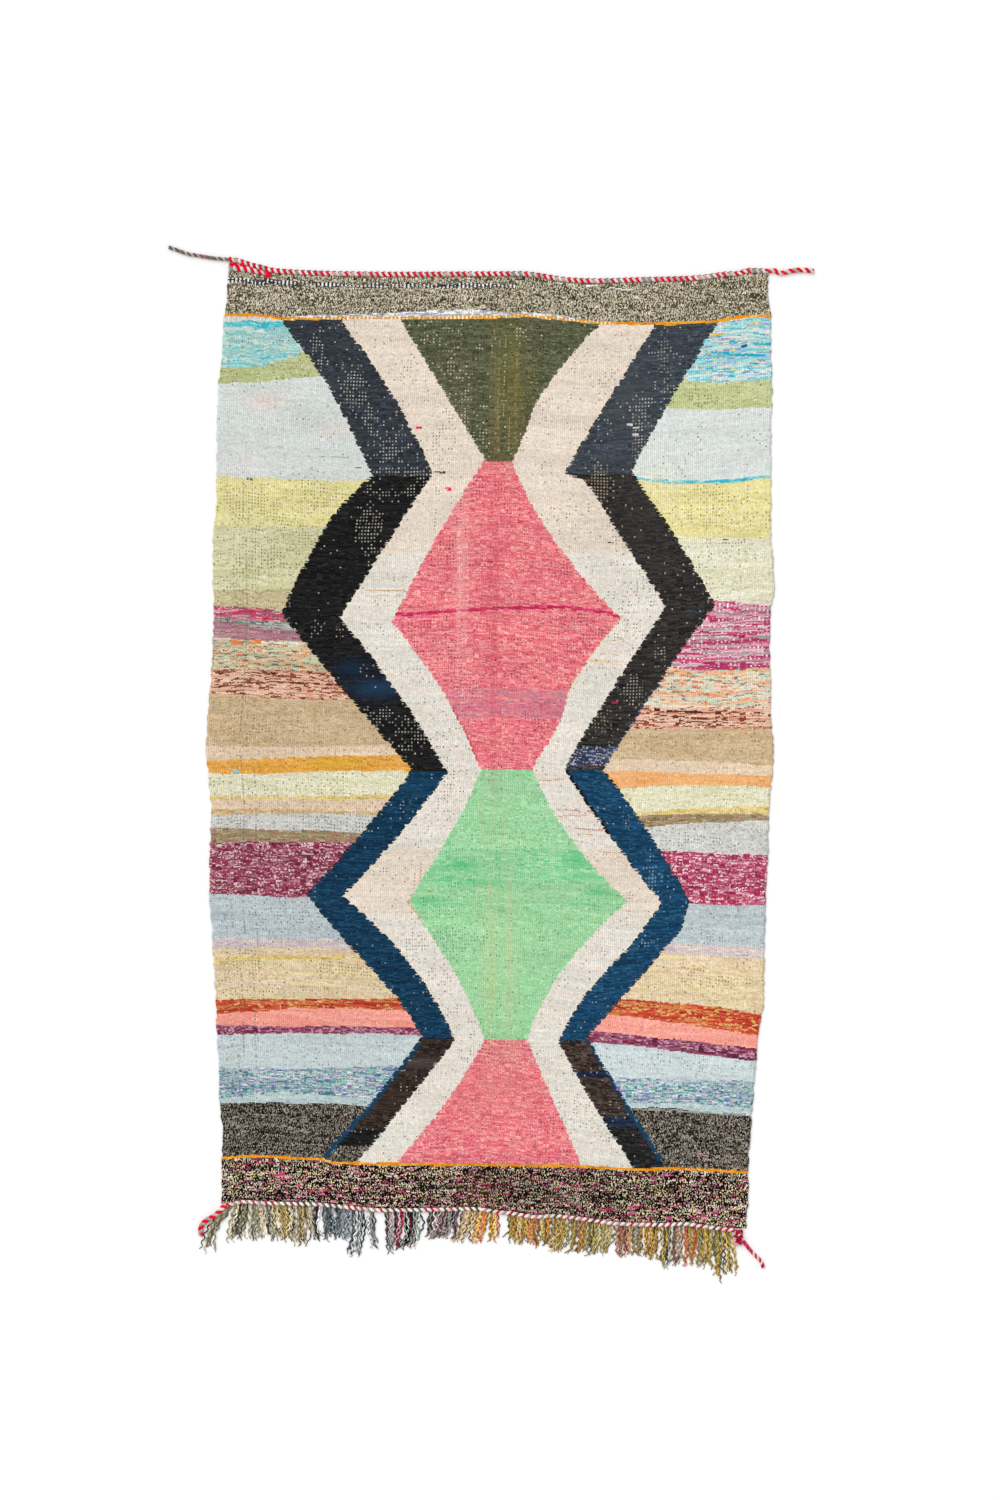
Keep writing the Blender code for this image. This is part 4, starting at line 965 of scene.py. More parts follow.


# Weft-faced weave of rag and wool yarn.  Every float of weft over a warp is its
# own small hump of one colour, 5 mm across and 3.2 mm high, with painted shade
# in the joint round it, so the eye sees rows of specks and never a flat colour.
rag_weave, tree = textile("rag_and_wool_weft_weave")
weave = node(tree, "Attribute", {"attribute_name": "weave"}, {})
seam = node(tree, "Attribute", {"attribute_name": "seam"}, {})
place = node(tree, "SeparateXYZ", {}, {0: weave.outputs["Vector"]})
off = node(tree, "SeparateXYZ", {}, {0: seam.outputs["Vector"]})
at = {"u": place.outputs[0], "v": place.outputs[1], "bend": place.outputs[2],
      "off": off.outputs[0], "depth": off.outputs[1], "step": off.outputs[2]}
steps_of(tree, at, (
    ("warp", "Math", "FLOOR", "u"),
    ("over", "Math", "FRACT", "u"),
    ("half", "Math", "MULTIPLY", "warp", 0.5),
    ("stagger", "Math", "FRACT", "half"),
    ("slid", "Math", "ADD", "v", "bend"),
    ("lift", "Math", "ADD", "slid", "stagger"),
    ("pick", "Math", "FLOOR", "lift"),
    ("along", "Math", "FRACT", "lift"),
    *chance_of("chance", "warp", "pick"),
    # Teeth of the interlocked edges: a round bump every few picks, no two alike.
    ("even_row", "Math", "DIVIDE", "v", TOOTH_PICKS),
    ("stretch", "Math", "DIVIDE", "u", TOOTH_WARPS),
    ("block", "Math", "FLOOR", "stretch"),
    ("slow_row", "Math", "MULTIPLY", "even_row", 0.45),
    ("sway_place", "CombineXYZ", None, "block", "slow_row", 2.0),
    ("sway", "TexNoise", None, "sway_place"),
    ("tooth_row", "Math", "MULTIPLY_ADD", "sway", 2.4, "even_row"),
    ("tooth", "Math", "FLOOR", "tooth_row"),
    ("in_tooth", "Math", "FRACT", "tooth_row"),
    *chance_of("tooth_chance", "block", "tooth", 5.0),
    *arch("tooth_wave", "in_tooth"),
    ("tooth_round", "Math", "POWER", "tooth_wave", 0.6),
    ("tooth_reach", "Math", "MULTIPLY_ADD", "tooth_chance", 0.7, "tooth_round"),
    ("tooth_even", "Math", "SUBTRACT", "tooth_reach", 1.08),
    ("tooth_shift", "Math", "MULTIPLY", "tooth_even", "depth"),
    ("tooth_middle", "Math", "SUBTRACT", 0.5, "in_tooth"),
    ("unslant", "Math", "MULTIPLY_ADD", "tooth_middle", "step", "off"),
    ("in_warp", "Math", "SUBTRACT", "over", 0.5),
    ("warp_step", "Math", "MULTIPLY", "in_warp", 0.3),
    ("warp_off", "Math", "SUBTRACT", "unslant", "warp_step"),
    ("stepped", "Math", "ADD", "warp_off", "tooth_shift"),
    ("is_right", "Math", "GREATER_THAN", "stepped", 0.0),
    ("distance", "Math", "ABSOLUTE", "stepped"),
))
for part in PARTS:
    left, right = (node(tree, "Attribute", {"attribute_name": f"{side}_{part}"}, {})
                   for side in ("left", "right"))
    for value, kind, first, out in (("Color", "RGBA", 6, 2), ("Alpha", "FLOAT", 2, 0)):
        at[f"{part}_{value}"] = node(
            tree, "Mix", {"data_type": kind},
            {0: at["is_right"], first: left.outputs[value], first + 1: right.outputs[value]},
        ).outputs[out]
steps_of(tree, at, (
    # Flecks: each row starts its runs somewhere else, so that they don't line up.
    *chance_of("pick_chance", "pick", 3.0),
    ("pick_start", "Math", "MULTIPLY", "pick_chance", 17.0),
    ("shifted", "Math", "ADD", "u", "pick_start"),
    ("run", "Math", "DIVIDE", "shifted", "fleck_Alpha"),
    ("run_floor", "Math", "FLOOR", "run"),
    ("is_fine", "Math", "LESS_THAN", "fleck_Alpha", FINE_RUN),
    ("fleck_picks", "Math", "ADD", "is_fine", 1.0),
    ("fleck_rows", "Math", "DIVIDE", "pick", "fleck_picks"),
    ("fleck_row", "Math", "FLOOR", "fleck_rows"),
    *chance_of("run_chance", "run_floor", "fleck_row", 9.0),
    ("is_dotted", "Math", "GREATER_THAN", "ground_Alpha", 0.999),
    ("fleck_share", "Math", "SUBTRACT", "ground_Alpha", "is_dotted"),
    ("is_chosen", "Math", "LESS_THAN", "run_chance", "fleck_share"),
    ("is_even", "Math", "LESS_THAN", "stagger", 0.25),
    ("not_dotted", "Math", "SUBTRACT", 1.0, "is_dotted"),
    ("is_open", "Math", "MAXIMUM", "is_even", "not_dotted"),
    ("is_fleck", "Math", "MULTIPLY", "is_chosen", "is_open"),
    ("is_rim", "Math", "LESS_THAN", "distance", "rim_Alpha"),
    # The hump of one float: 0 in its joints and 1 on its crown.
    *arch("hump_u", "over"),
    *arch("hump_v", "along"),
    ("hump", "Math", "MULTIPLY", "hump_u", "hump_v"),
    ("crown", "Math", "POWER", "hump", 0.5),
    # A bare warp shows as a small dot wherever the rows have slid apart.
    ("pin_u", "Math", "DIVIDE", "u", PIN_PITCH[0]),
    ("pin_v", "Math", "DIVIDE", "slid", PIN_PITCH[1]),
    ("pin_column", "Math", "FLOOR", "pin_u"),
    ("pin_row", "Math", "FLOOR", "pin_v"),
    *chance_of("pin_chance", "pin_column", "pin_row", 4.0),
    ("across_pin", "Math", "FRACT", "pin_u"),
    ("down_pin", "Math", "FRACT", "pin_v"),
    *arch("pin_hump_u", "across_pin"),
    *arch("pin_hump_v", "down_pin"),
    ("pin_hump", "Math", "MULTIPLY", "pin_hump_u", "pin_hump_v"),
    ("is_dot", "Math", "GREATER_THAN", "pin_hump", 0.7),
    ("is_bare", "Math", "LESS_THAN", "pin_chance", "pin_Alpha"),
    ("dot", "Math", "MULTIPLY", "is_dot", "is_bare"),
    # Where rows part all the way down, the middle warp of a column lies open.
    ("is_slit", "Math", "GREATER_THAN", "pin_Alpha", SLIT / 2),
    ("column", "Math", "DIVIDE", "u", COLUMN),
    ("in_column", "Math", "FRACT", "column"),
    ("off_column", "Math", "SUBTRACT", "in_column", 0.5),
    ("from_column", "Math", "ABSOLUTE", "off_column"),
    ("is_middle", "Math", "LESS_THAN", "from_column", 0.12),
    ("shut", "Math", "SUBTRACT", 1.0, "is_slit"),
    ("shut_dot", "Math", "MULTIPLY", "dot", "shut"),
    ("pin", "Math", "MULTIPLY_ADD", "is_slit", "is_middle", "shut_dot"),
    ("pin_bright", "Math", "MULTIPLY_ADD", "chance", 0.7, 0.3),
    ("is_pin", "Math", "MULTIPLY", "pin", "pin_bright"),
    # Specks of dye, fibres along the weft, and columns over some warps a little lighter or darker
    # all the way.
    ("laid", "CombineXYZ", None, "u", "lift"),
    ("speck_place", "VectorMath", "MULTIPLY", "laid", (1.9, 1.3, 1.0)),
    ("speck", "TexNoise", None, "speck_place"),
    ("fibre_place", "VectorMath", "MULTIPLY", "laid", (1.5, 6.0, 1.0)),
    ("fibre", "TexNoise", None, "fibre_place"),
    ("warp_place", "CombineXYZ", None, "u", "even_row", 7.0),
    ("warp_stretch", "VectorMath", "MULTIPLY", "warp_place", (0.43, 0.07, 1.0)),
    ("warp_tone", "TexNoise", None, "warp_stretch"),
    # How the hump and each of them darken the yarn: by how much, and to what at the least.  The
    # hump's darker joints are painted shade, where the floats dip between one another.
    ("joint", "Math", "MULTIPLY_ADD", "crown", 0.34, 0.75),
    ("speck_shade", "Math", "MULTIPLY_ADD", "speck", 1.5, 0.25),
    ("fibre_shade", "Math", "MULTIPLY_ADD", "fibre", 0.24, 0.88),
    ("warp_shade", "Math", "MULTIPLY_ADD", "warp_tone", 0.36, 0.82),
    ("cell_shade", "Math", "MULTIPLY_ADD", "chance", 0.24, 0.88),
    ("shade_1", "Math", "MULTIPLY", "joint", "speck_shade"),
    ("shade_2", "Math", "MULTIPLY", "fibre_shade", "warp_shade"),
    ("shade_3", "Math", "MULTIPLY", "shade_1", "shade_2"),
    ("shade", "Math", "MULTIPLY", "shade_3", "cell_shade"),
    ("relief", "Math", "MULTIPLY_ADD", "fibre", 0.4, "crown"),
))
colour = at["ground_Color"]
for mask, part in (("is_fleck", "fleck_Color"), ("is_rim", "rim_Color"), ("is_pin", "pin_Color")):
    colour = node(tree, "Mix", {"data_type": "RGBA"}, {0: at[mask], 6: colour, 7: at[part]}
                  ).outputs[2]
dye_and_raise(tree, at, colour, 0.8 * MM)

cloth = rug_piece(cloth_mesh, rag_weave, "woven_rag_yarn", "woven_cloth")

# ---------------------------------------------------------------------------
# The twined end cords.  A red yarn and a white one are twined round the warps,
# one turn for every three warps, to lock the first and the last wefts.  A thin
# grey yarn runs along the outer side of the head cord.

CORD_STEPS = 10  # points to one turn of the strands
CORD_SIDES = 8
FLOOR_CLEAR = 0.1  # under every yarn
# A strand as shares of its cord: its radius, how high it rises and how much thicker it
# is on top, how tall it is for its width, and how sharply it crosses over.
STRAND = {"radius": 0.27, "rise": 0.17, "swell": 0.12, "tall": 1.25, "crossing": 1.5}

# Wool yarn of two plies: a soft ridge winds round it, with painted shade in the groove.
PLY_PITCH = 7.0  # mm along the yarn for one turn of the plies
spun_wool, tree = textile("plied_wool_yarn")
yarn = node(tree, "Attribute", {"attribute_name": "yarn"}, {})
dye = node(tree, "Attribute", {"attribute_name": "dye"}, {})
place = node(tree, "SeparateXYZ", {}, {0: yarn.outputs["Vector"]})
at = {"along": place.outputs[0], "round": place.outputs[1], "yarn": yarn.outputs["Vector"]}
steps_of(tree, at, (
    ("turned", "Math", "DIVIDE", "along", PLY_PITCH),
    ("phase", "Math", "ADD", "turned", "round"),
    ("twice", "Math", "MULTIPLY", "phase", 2.0),
    ("ply", "Math", "PINGPONG", "twice", 0.5),
    ("stretch", "VectorMath", "MULTIPLY", "yarn", (0.6, 9.0, 31.0)),
    ("fuzz", "TexNoise", None, "stretch"),
    # Painted shade in the groove between the plies.
    ("groove", "Math", "MULTIPLY_ADD", "ply", 0.75, 0.68),
    ("fuzz_tone", "Math", "MULTIPLY_ADD", "fuzz", 0.6, 0.72),
    ("shade", "Math", "MULTIPLY", "groove", "fuzz_tone"),
    ("relief", "Math", "ADD", "ply", "fuzz"),
))
dye_and_raise(tree, at, dye.outputs["Color"], 0.5 * MM)

twist = np.random.default_rng(23)


def spin(points, radius, colours, sides=CORD_SIDES, flat=1.0):
    """One yarn as a closed tube: its corners, faces, yarn coordinates and colours."""
    points = np.asarray(points, float)
    count = len(points)
    radius, flat = np.broadcast_to(radius, count), np.broadcast_to(flat, count)
    colours = np.broadcast_to(colours, (count, 3))
    run = np.gradient(points, axis=0)
    run /= np.linalg.norm(run, axis=1)[:, None] + 1e-9
    side = np.cross(run, (0.0, 0.0, 1.0))
    side /= np.linalg.norm(side, axis=1)[:, None] + 1e-9
    up = np.cross(side, run)
    turn = -math.pi / 2 + 2 * math.pi * np.arange(sides) / sides
    out = (np.cos(turn)[None, :, None] * side[:, None]
           + flat[:, None, None] * np.sin(turn)[None, :, None] * up[:, None])
    corners = (points[:, None] + radius[:, None, None] * out).reshape(-1, 3)
    corners[:, 2] = np.maximum(corners[:, 2], FLOOR_CLEAR)
    ring, k = np.mgrid[0:count - 1, 0:sides]
    after = (k + 1) % sides
    faces = np.dstack([ring * sides + k, ring * sides + after, (ring + 1) * sides + after,
                       (ring + 1) * sides + k]).reshape(-1, 4)
    ends = [list(range(sides))[::-1], list(range((count - 1) * sides, count * sides))]
    steps = np.linalg.norm(np.diff(points, axis=0), axis=1)
    along = np.concatenate([[0.0], np.cumsum(steps)])
    coordinates = np.column_stack([np.repeat(along, sides), np.tile(np.arange(sides) / sides, count),
                                   np.full(count * sides, twist.random())])
    return corners, faces.tolist() + ends, coordinates, np.repeat(colours, sides, axis=0)


def yarn_piece(name, yarns, slot, *nodes):
    """Joins spun yarns into one piece of the rug, in place of its CAD nodes."""
    corners, faces_of, coordinates, colours = zip(*yarns)
    starts = np.cumsum([0, *(len(points) for points in corners)])
    joined = [[corner + int(start) for corner in face]
              for start, yarn_faces in zip(starts, faces_of) for face in yarn_faces]
    mesh = bpy.data.meshes.new(name)
    mesh.from_pydata(to_model(np.vstack(corners)), [], joined)
    mesh.shade_smooth()
    put(mesh, "yarn", "FLOAT_VECTOR", "POINT", np.vstack(coordinates))
    put(mesh, "dye", "FLOAT_COLOR", "POINT",
        np.column_stack([np.vstack(colours), np.ones(starts[-1])]))
    return rug_piece(mesh, spun_wool, slot, *nodes)


def mottled(colours, along, run):
    """One colour after another along a strand, each for about one run."""
    palette = dyes(colours)
    picks = twist.integers(0, len(palette), int(along[-1] / run) + 2)
    return palette[picks[(along / run).astype(int)]]


def strands(path, wide, height, turn_length, reds, whites, hand=1.0, white_extra=0.0, bold=1.0):
    """Two strands twisted together along a flat path, each thickest where it lies on top.

    The sign of hand is the way they turn, white_extra thickens the white one, and bold both.
    """
    run = np.gradient(path, axis=0)
    run /= np.linalg.norm(run, axis=1)[:, None]
    left = np.column_stack([-run[:, 1], run[:, 0]])
    steps = np.linalg.norm(np.diff(path, axis=0), axis=1)
    along = np.concatenate([[0.0], np.cumsum(steps)])
    turned = np.concatenate([[0.0], np.cumsum(steps * np.broadcast_to(hand, len(path))[1:])])
    wide = np.broadcast_to(wide, len(path))
    made = []
    for colours, phase, thick in ((reds, 0.0, STRAND["radius"]),
                                  (whites, math.pi, STRAND["radius"] + white_extra)):
        turn = 2 * math.pi * turned / turn_length + phase
        swing = np.clip(STRAND["crossing"] * np.cos(turn), -1, 1)
        across = swing * wide * (0.5 - thick) * bold
        up = height * (0.5 + STRAND["rise"] * np.sin(turn))
        radius = wide * thick * bold * (1 + STRAND["swell"] * np.sin(turn))
        made.append(spin(np.column_stack([path + left * across[:, None], up]), radius,
                         mottled(colours, along, turn_length), flat=STRAND["tall"] * height / wide))
    return made


RED = "f00f32 e01030 f21c3c e8102f d8a8a4 9a8f86"
WHITE = "f0ebe4 e6dfd6 f0ebe4 d8cfc8 e6d4d0 c4bab0"
GREY = "544b46 6c645e 3f3833 5f5752"
FADED_RED = "c05c68 a89a90 cc1c3c c88a88 5a4c44 c0203c 7a6a60"
CLEAN_WHITE = "faf6f0 f4eee6 faf6f0 f0d8d4"
GREY_STEP = 4.0  # from one point of the grey yarn to the next
GREY_RADIUS = 1.4
GREY_OUT, GREY_SWING = 4.6, 1.5  # off the cord's middle line, and to both sides of that
GREY_HEIGHT, GREY_DIP = 5.2, 1.0  # off the floor, and up and down from that
FOOT_TURNS_BACK = -20.0  # where along the foot the weaver changed hands
FOOT_WHITE_EXTRA = 0.08  # how much thicker its white yarn is, as a share of the width


def twined(path_rows, cord, reds, whites, turns_back=math.inf, white_extra=0.0):
    """The two strands of an end cord, which turn the other way from turns_back on."""
    path = curve_through(path_rows, cord["twist"] / CORD_STEPS)
    wide = np.linspace(cord["width"], cord.get("end_width", cord["width"]), len(path))
    hand = np.where(path[:, 0] < turns_back, 1.0, -1.0)
    return strands(path, wide, cord["height"], cord["twist"], reds, whites, hand, white_extra)


head_yarns = twined(HEAD_LINE, HEAD_CORD, RED, WHITE)
grey_line = curve_through(HEAD_LINE, GREY_STEP)
swing = np.sin(2 * math.pi * np.arange(len(grey_line)) * GREY_STEP / HEAD_CORD["twist"])
grey_line = np.column_stack([grey_line[:, 0], grey_line[:, 1] + GREY_OUT + GREY_SWING * swing,
                             GREY_HEIGHT - GREY_DIP * swing])
grey_dyes = dyes(GREY)[twist.integers(0, len(GREY.split()), len(grey_line))]
head_yarns.append(spin(grey_line, GREY_RADIUS, grey_dyes, sides=5))
head_cord = yarn_piece("twined_head_cord", head_yarns, "red_and_white_cord", "head_cord")
foot_yarns = twined(FOOT_LINE, FOOT_CORD, FADED_RED, CLEAN_WHITE, FOOT_TURNS_BACK,
                    FOOT_WHITE_EXTRA)
foot_cord = yarn_piece("twined_foot_cord", foot_yarns, "red_and_white_cord", "foot_cord")

# ---------------------------------------------------------------------------
# The thick start of the head cord.  The first turns are doubled with a second
# pair of yarns, and red knots lock them at the corner.

START_RED = "d0485a b8a8a0 e8102f a89a90 d8c8c0"
KNOT_RED = "f4103a f00f34 e0102f f4103a"
KNOT_STARTS = (0.4, math.pi / 2, 1.1)  # where in its winding a knot starts, on each axis
KNOT_YARN = 20.0  # of yarn to one radian of the winding
KNOT_RUN = 9.0  # of one colour along it


def tangle(centre, half_size, yarn_radius, colours, loops=(3, 4, 5), steps=90):
    """A yarn knotted on itself and pulled tight: it winds about inside its half sizes."""
    t = np.linspace(0.0, 2 * math.pi, steps)
    path = np.column_stack([np.sin(count * t + start) for count, start in zip(loops, KNOT_STARTS)])
    room = np.array(half_size) - yarn_radius
    return spin(np.array(centre) + path * room, yarn_radius,
                mottled(colours, t * KNOT_YARN, KNOT_RUN), sides=6)


start_yarns = twined(START_LINE, START_CORD, START_RED, WHITE)
start_yarns += [
    tangle((-642.0, 1197.0, 5.5), (10.5, 9.5, 5.2), 3.4, KNOT_RED, (2, 3, 3), 48),
    tangle((-619.0, 1196.0, 5.2), (7.0, 7.5, 4.8), 2.8, KNOT_RED, (2, 3, 3), 48),
    tangle((-557.0, 1176.5, 4.8), (10.0, 7.5, 4.6), 2.8, KNOT_RED, (3, 2, 3), 48),
]
start_cord = yarn_piece("head_cord_start_knots", start_yarns, "red_and_white_cord",
                        "head_start_cord")

# ---------------------------------------------------------------------------
# The loose cord ends.  At each corner the cord's own yarns run on, loosely
# twisted together, and lie free on the floor.

# Columns: width, height, length of one turn, two strands' colours, and the line
# that it lies along: across and up.
TAILS = {
    "head_left_tail": (8.0, 7.0, 16.0, "7a6a64 6a5c56 8a6a68", "c4b4ac a87a78 b8a8a0 8a7c74", (
        (-653.6, 1213.6), (-685.0, 1216.5), (-704.0, 1219.0), (-729.0, 1223.5),
        (-752.0, 1227.0), (-771.0, 1233.0), (-787.0, 1239.0), (-803.0, 1244.5))),
    "head_right_tail": (11.0, 8.0, 20.0, "f00f32 e01030 f21c3c", "ece6de d8d0c8 b4aca4", (
        (691.5, 1184.4), (710.0, 1186.0), (727.0, 1179.5), (750.0, 1184.5),
        (774.0, 1187.5), (794.0, 1186.5), (809.0, 1184.5))),
    "foot_left_tail": (12.0, 9.0, 20.0, "f00f32 e8102f f21c3c", "ece6de c8beb4 b0a8a0", (
        (-659.4, -1151.7), (-668.0, -1156.5), (-680.0, -1170.0), (-693.0, -1180.0),
        (-707.0, -1187.5), (-719.0, -1198.5), (-723.0, -1210.0), (-722.0, -1226.0))),
    "foot_right_tail": (8.0, 7.0, 15.0, "cc1c40 b01836 d82848", "d8506a f0c8cc e8dcd8 8a2a3c", (
        (633.3, -1240.2), (649.0, -1261.0), (663.0, -1276.0), (677.0, -1290.0),
        (683.0, -1306.0))),
}
TAIL_BOLD = 1.15  # how much the loosened twist stands out past the cord
for name, (wide, height, turn, first, second, line) in TAILS.items():
    path = curve_through(line, turn / CORD_STEPS)
    yarns = strands(path, wide, height, turn, first, second, bold=TAIL_BOLD)
    slot = "grey_brown_cord" if name == "head_left_tail" else "red_and_white_cord"
    tail = yarn_piece(f"{name}_yarn", yarns, slot, name)

# ---------------------------------------------------------------------------
# The red knot that ties off the foot cord at the right corner, in the cord's
# own doubled yarns.

knot_yarns = [
    tangle((618.5, -1237.0, 5.6), (11.5, 13.0, 5.4), 2.8, "c41c3e b01634 e8b0b6 d02244 8a1c32",
           (3, 4, 5)),
    tangle((623.0, -1222.0, 5.4), (10.0, 11.0, 5.2), 2.6, "c01c3c f0e0dc a81634 6a3a3a d02848",
           (4, 3, 5)),
]
foot_knot = yarn_piece("foot_cord_knot", knot_yarns, "red_knot_yarn", "foot_knot")

# ---------------------------------------------------------------------------
# The fringe.  Under the foot cord the warps are cut in bunches, each of the
# colours its own warps had, and left to lie on the floor.  Their colours also carry
# painted shade, in the gaps, under the upper layer, in the plies' grooves and at
# the root, and painted light on the plies.

# Columns: root from, root to, tips from, tips to, how far up the tips reach, how
# far the middle bows to the right, and the bunch's colours, of which the near-black
# ones are partly painted shade in the gaps between the warps.
BUNCHES = (
    (-653, -639, -722, -684, -1280, -16, "a29c7c e4dabc 2e2a20 c8bc94"),
    (-637, -622, -657, -640, -1248, 0, "b4aa82 ece0bc 2c2820 d8c894"),
    (-619, -604, -634, -620, -1240, 2, "a8a080 ece0bc 2c2820 d4c69a"),
    (-601, -586, -603, -593, -1245, 0, "a8a48c e0d6b8 36322a ece2c6"),
    (-584, -568, -584, -574, -1236, 3, "ccd0cc e6dab8 44463f dcc898"),
    (-565, -539, -548, -533, -1245, 0, "e0c88e c4ac70 5a4e34 f0e4c0"),
    (-536, -489, -522, -500, -1245, 5, "dcc688 b89e68 4a4230 f0e2ba"),
    (-484, -456, -491, -470, -1260, 4, "ece0c4 dcc89c f2e8d2 80704c"),
    (-452, -423, -449, -427, -1243, -4, "5a6266 8f9aa0 e4e8e6 2b3034"),
    (-418, -396, -412, -397, -1244, 0, "5a6266 9aa4aa e4e8e6 2b3034"),
    (-392, -371, -390, -375, -1240, 3, "6a7276 8f9aa0 e4e8e6 3f4448"),
    (-366, -351, -361, -351, -1242, 0, "5a6266 9aa4aa e4e8e6 2b3034"),
    (-346, -316, -350, -329, -1282, 4, "505658 b8bebe eaeae6 282b2e"),
    (-304, -290, -290, -276, -1262, -7, "b9bcb8 e0e0d8 7d817f"),
    (-264, -246, -258, -245, -1275, 0, "2f2a2c 7f2a40 b0ada8 e4e0d8"),
    (-242, -218, -242, -227, -1267, 3, "b02048 2a2426 d8607f e0dcd4"),
    (-215, -173, -219, -188, -1265, 6, "6a747a 2d3236 e4e8dc a0a8a0"),
    (-152, -74, -152, -92, -1237, -3, "e4d4c0 ecc8c0 c4bfb6 6c6864 f4ece0 d0809a"),
    (-69, -33, -88, -57, -1250, 3, "e0b858 9c8448 e8d0a0 6b5c38 d8a868"),
    (-29, -3, -52, -22, -1249, 2, "f4a458 f48860 f4c878 e8a050"),
    (1, 20, -8, 15, -1247, 3, "f0c850 d8b040 f8dc84"),
    (43, 69, 50, 68, -1250, -2, "e4bc60 dc9c58 a08c50 f0d498"),
    (73, 99, 72, 96, -1250, 2, "e0ac58 ec9858 988850 f0d090"),
    (103, 125, 105, 124, -1260, -3, "f0a458 e48c4c f4c48c b8945c"),
    (128, 155, 131, 152, -1255, 3, "d8b458 a89450 ecd088"),
    (159, 189, 156, 176, -1271, 6, "e4b858 f0cc7c b4944c"),
    (195, 219, 193, 214, -1273, 3, "dcb45c e09c5c 8c8458 f0d498"),
    (223, 247, 220, 239, -1280, 4, "c0b068 e0d094 8c8250 e4cc80"),
    (251, 279, 247, 270, -1282, 3, "c0b068 e0d094 8c8250 e4cc80"),
    (285, 312, 286, 298, -1272, 0, "e88474 c85048 f0aca0 d8c8a8"),
    (319, 347, 320, 341, -1287, -2, "98a09c b4a464 66624a d0c494"),
    (352, 382, 351, 376, -1283, 0, "e4b864 f0c894 c89c4c"),
    (386, 425, 382, 418, -1290, 3, "dca848 c06428 4e3a24 ecc468"),
    (429, 452, 426, 443, -1312, 2, "9c9e90 848048 c4bc84 54543c"),
    (460, 482, 462, 483, -1312, -4, "ec8458 dc5c38 a8a088 f0b088"),
    (486, 514, 492, 512, -1307, 0, "a49a54 b8ac84 e09c7c dcb858"),
    (518, 532, 519, 531, -1307, 0, "e4c064 f0d898 c4a448"),
    (535, 559, 538, 557, -1315, 0, "d8b450 887f4c c0a044"),
    (562, 580, 563, 581, -1348, -3, "c4b05c 908850 e0cc80"),
    (583, 600, 588, 620, -1332, 1, "d0b054 887c4c e4c064 d46c44"),
)
FRINGE_PITCH = 3.8  # from one warp end to the next in a layer
FRINGE_RADIUS = 2.05
FRINGE_POINTS = 24
FRINGE_LAYERS = ((2.1, 0.42), (3.9, 1.05))  # how high each lies at the root, and its tone, which darkens the lower layer as painted shade under the upper one
FEWEST = 4  # warps to a layer of a bunch
STRAYS = 2  # colours that a bunch takes over from its neighbour
ROOT_TUCK = 3.5  # how far the warps run in under the cord
CLUMP = 13.0  # width of the warps that cling together
CLING = 0.3  # how far they do
TIP_SPREAD = 4.5
TIP_REACH = (0.74, 1.0)  # how far towards its bunch's tips a warp reaches
KINK_LENGTH, KINK = (15, 26), (1.4, 3.6)  # of one small wave, and how far it swings out
SWAY_BENDS, SWAY = (0.8, 2.2), 3.6  # half waves of its slow bend, and how far that goes
CURL_FROM, CURL = 0.7, 8.91  # where along it the tip curls, and how far
THICKNESSES = (0.7, 1.1)
WARP_TONES = (0.5, 1.4)  # from one warp to the next: the warps' own tone, and in its darker part painted shade of warps lying in shadow
SPOT_TONES = (0.85, 1.1)  # along one warp
PLY_TURN = 1.9  # of its plies from one point to the next
PLY_SHADE_AND_LIGHT = (0.6, 1.2)  # painted shade in the groove and painted light on the ply
ROOT_TONE = 0.6  # in the shade of the cord

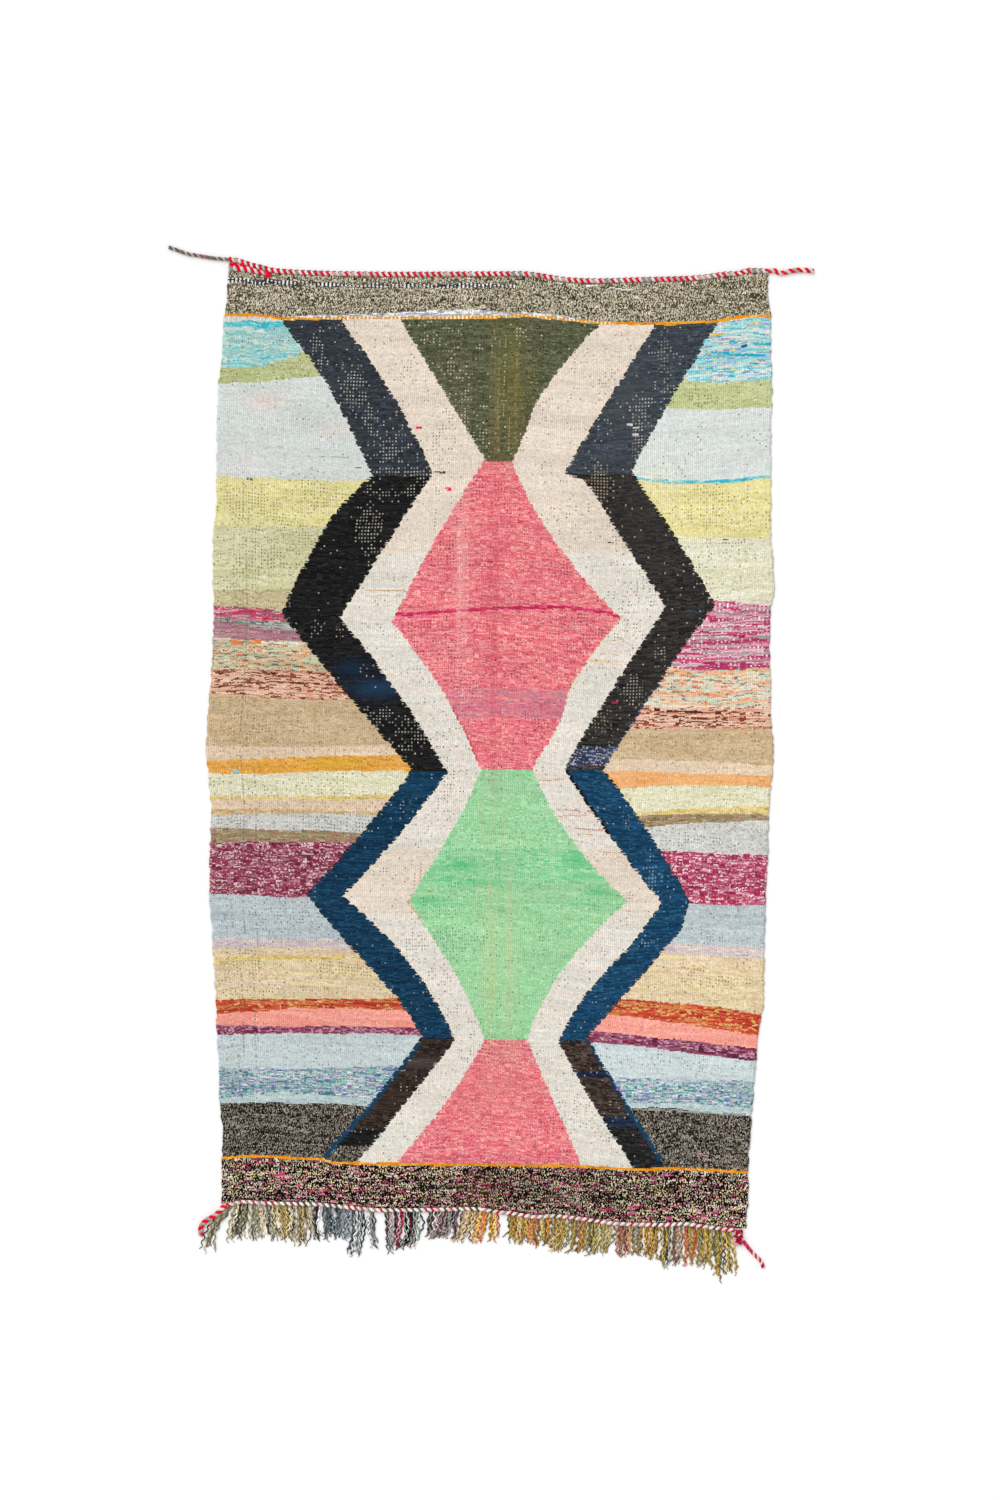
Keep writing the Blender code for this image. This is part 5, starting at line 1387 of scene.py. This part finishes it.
cut = np.random.default_rng(31)
fringe_yarns = []
t = np.linspace(0.0, 1.0, FRINGE_POINTS)
curling = (np.clip(t - CURL_FROM, 0, 1) / (1 - CURL_FROM)) ** 2
stray = dyes(BUNCHES[0][-1])[:STRAYS]
for root_from, root_to, tips_from, tips_to, tips_up, bow, colours in BUNCHES:
    palette = np.vstack([dyes(colours), stray])
    stray = palette[:STRAYS]
    count = max(FEWEST, round((root_to - root_from) / FRINGE_PITCH))
    clumps = max(1, round((root_to - root_from) / CLUMP))
    for lift, painted_layer_shade in FRINGE_LAYERS:
        for share in (np.arange(count) + cut.uniform(0.2, 0.8, count)) / count:
            clung = share + CLING * ((math.floor(share * clumps) + 0.5) / clumps - share)
            root_x = root_from + share * (root_to - root_from)
            tip_x = tips_from + clung * (tips_to - tips_from) + cut.normal(0, TIP_SPREAD)
            root_y = beside(foot_path, -FOOT_CORD["width"] / 2, root_x) + ROOT_TUCK
            tip_y = root_y + (tips_up - root_y) * cut.uniform(*TIP_REACH)
            waves = abs(tip_y - root_y) / cut.uniform(*KINK_LENGTH)
            kink = np.sin(2 * math.pi * (waves * t + cut.random())) * cut.uniform(*KINK)
            sway = np.sin(math.pi * t * cut.uniform(*SWAY_BENDS)) * cut.normal(0, SWAY)
            curl = cut.normal(0, CURL) * curling
            x = (root_x + (tip_x - root_x) * t + bow * np.sin(math.pi * t)
                 + (kink + sway) * np.clip(4 * t, 0, 1) + curl)
            y = root_y + (tip_y - root_y) * t
            z = FRINGE_RADIUS + (lift - FRINGE_RADIUS) * (1 - t) ** 0.7
            radius = FRINGE_RADIUS * cut.uniform(*THICKNESSES) * (1 - 0.5 * t**4)
            turned = np.sin(np.arange(FRINGE_POINTS) * PLY_TURN + cut.uniform(0, 6))
            # Painted shade in the groove and painted light on the plies, turn by turn along the
            # warp.
            ply_shade_and_light = np.where(turned > -0.3, PLY_SHADE_AND_LIGHT[1], PLY_SHADE_AND_LIGHT[0])
            colour = palette[cut.integers(len(palette))]
            # The warp's tone, darkened as painted shade under the upper layer, in the plies' grooves
            # and at the root under the cord, and lightened as painted light on the plies.
            tone = painted_layer_shade * cut.uniform(*WARP_TONES) * cut.uniform(*SPOT_TONES, FRINGE_POINTS)
            tone = tone * ply_shade_and_light * (ROOT_TONE + (1 - ROOT_TONE) * np.clip(5 * t, 0, 1))
            fringe_yarns.append(spin(np.column_stack([x, y, z]), radius, colour * tone[:, None],
                                     sides=4))
fringe = yarn_piece("cut_warp_fringe", fringe_yarns, "cut_warp_yarn", "fringe")

# ---------------------------------------------------------------------------
# The studio: a matt white floor that the light fills evenly, one broad soft
# lamp from the upper left, and a camera straight above, as for a catalogue.

FLOOR_HALF = 30.0  # m, so that its edge stays out of every view
floor_corners = [(x * FLOOR_HALF, y * FLOOR_HALF, 0.0)
                 for x, y in ((-1, -1), (1, -1), (1, 1), (-1, 1))]
floor_mesh = bpy.data.meshes.new("studio_floor")
floor_mesh.from_pydata(floor_corners, [], [(0, 1, 2, 3)])
floor = bpy.data.objects.new("studio_floor", floor_mesh)
bpy.context.scene.collection.objects.link(floor)
paint = bpy.data.materials.new("matt_white_floor_paint")
paint.use_nodes = True
paint_shader = paint.node_tree.nodes["Principled BSDF"]
for socket, value in (("Base Color", (*linear("f6f6f6"), 1.0)), ("Roughness", 1.0),
                      ("Specular IOR Level", 0.0)):
    paint_shader.inputs[socket].default_value = value
floor.data.materials.append(paint)

world = bpy.data.worlds.new("white_studio")
bpy.context.scene.world = world
world.use_nodes = True
world.node_tree.nodes["Background"].inputs["Color"].default_value = (1.0, 1.0, 1.0, 1.0)
world.node_tree.nodes["Background"].inputs["Strength"].default_value = 0.78

lamp = bpy.data.lights.new("broad_soft_lamp", "SUN")
lamp.energy = 1.6
lamp.angle = math.radians(50)
lamp_stand = bpy.data.objects.new("broad_soft_lamp", lamp)
lamp_stand.rotation_euler = (math.radians(-38), math.radians(-34), 0.0)
bpy.context.scene.collection.objects.link(lamp_stand)

lens = bpy.data.cameras.new("overhead_camera")
lens.lens = 100
lens.sensor_width = 36
lens.clip_end = 50
camera = bpy.data.objects.new("overhead_camera", lens)
camera.location = (0.0271, 0.0500, 10.42)
bpy.context.scene.collection.objects.link(camera)
bpy.context.scene.camera = camera
bpy.context.scene.view_settings.view_transform = "Standard"
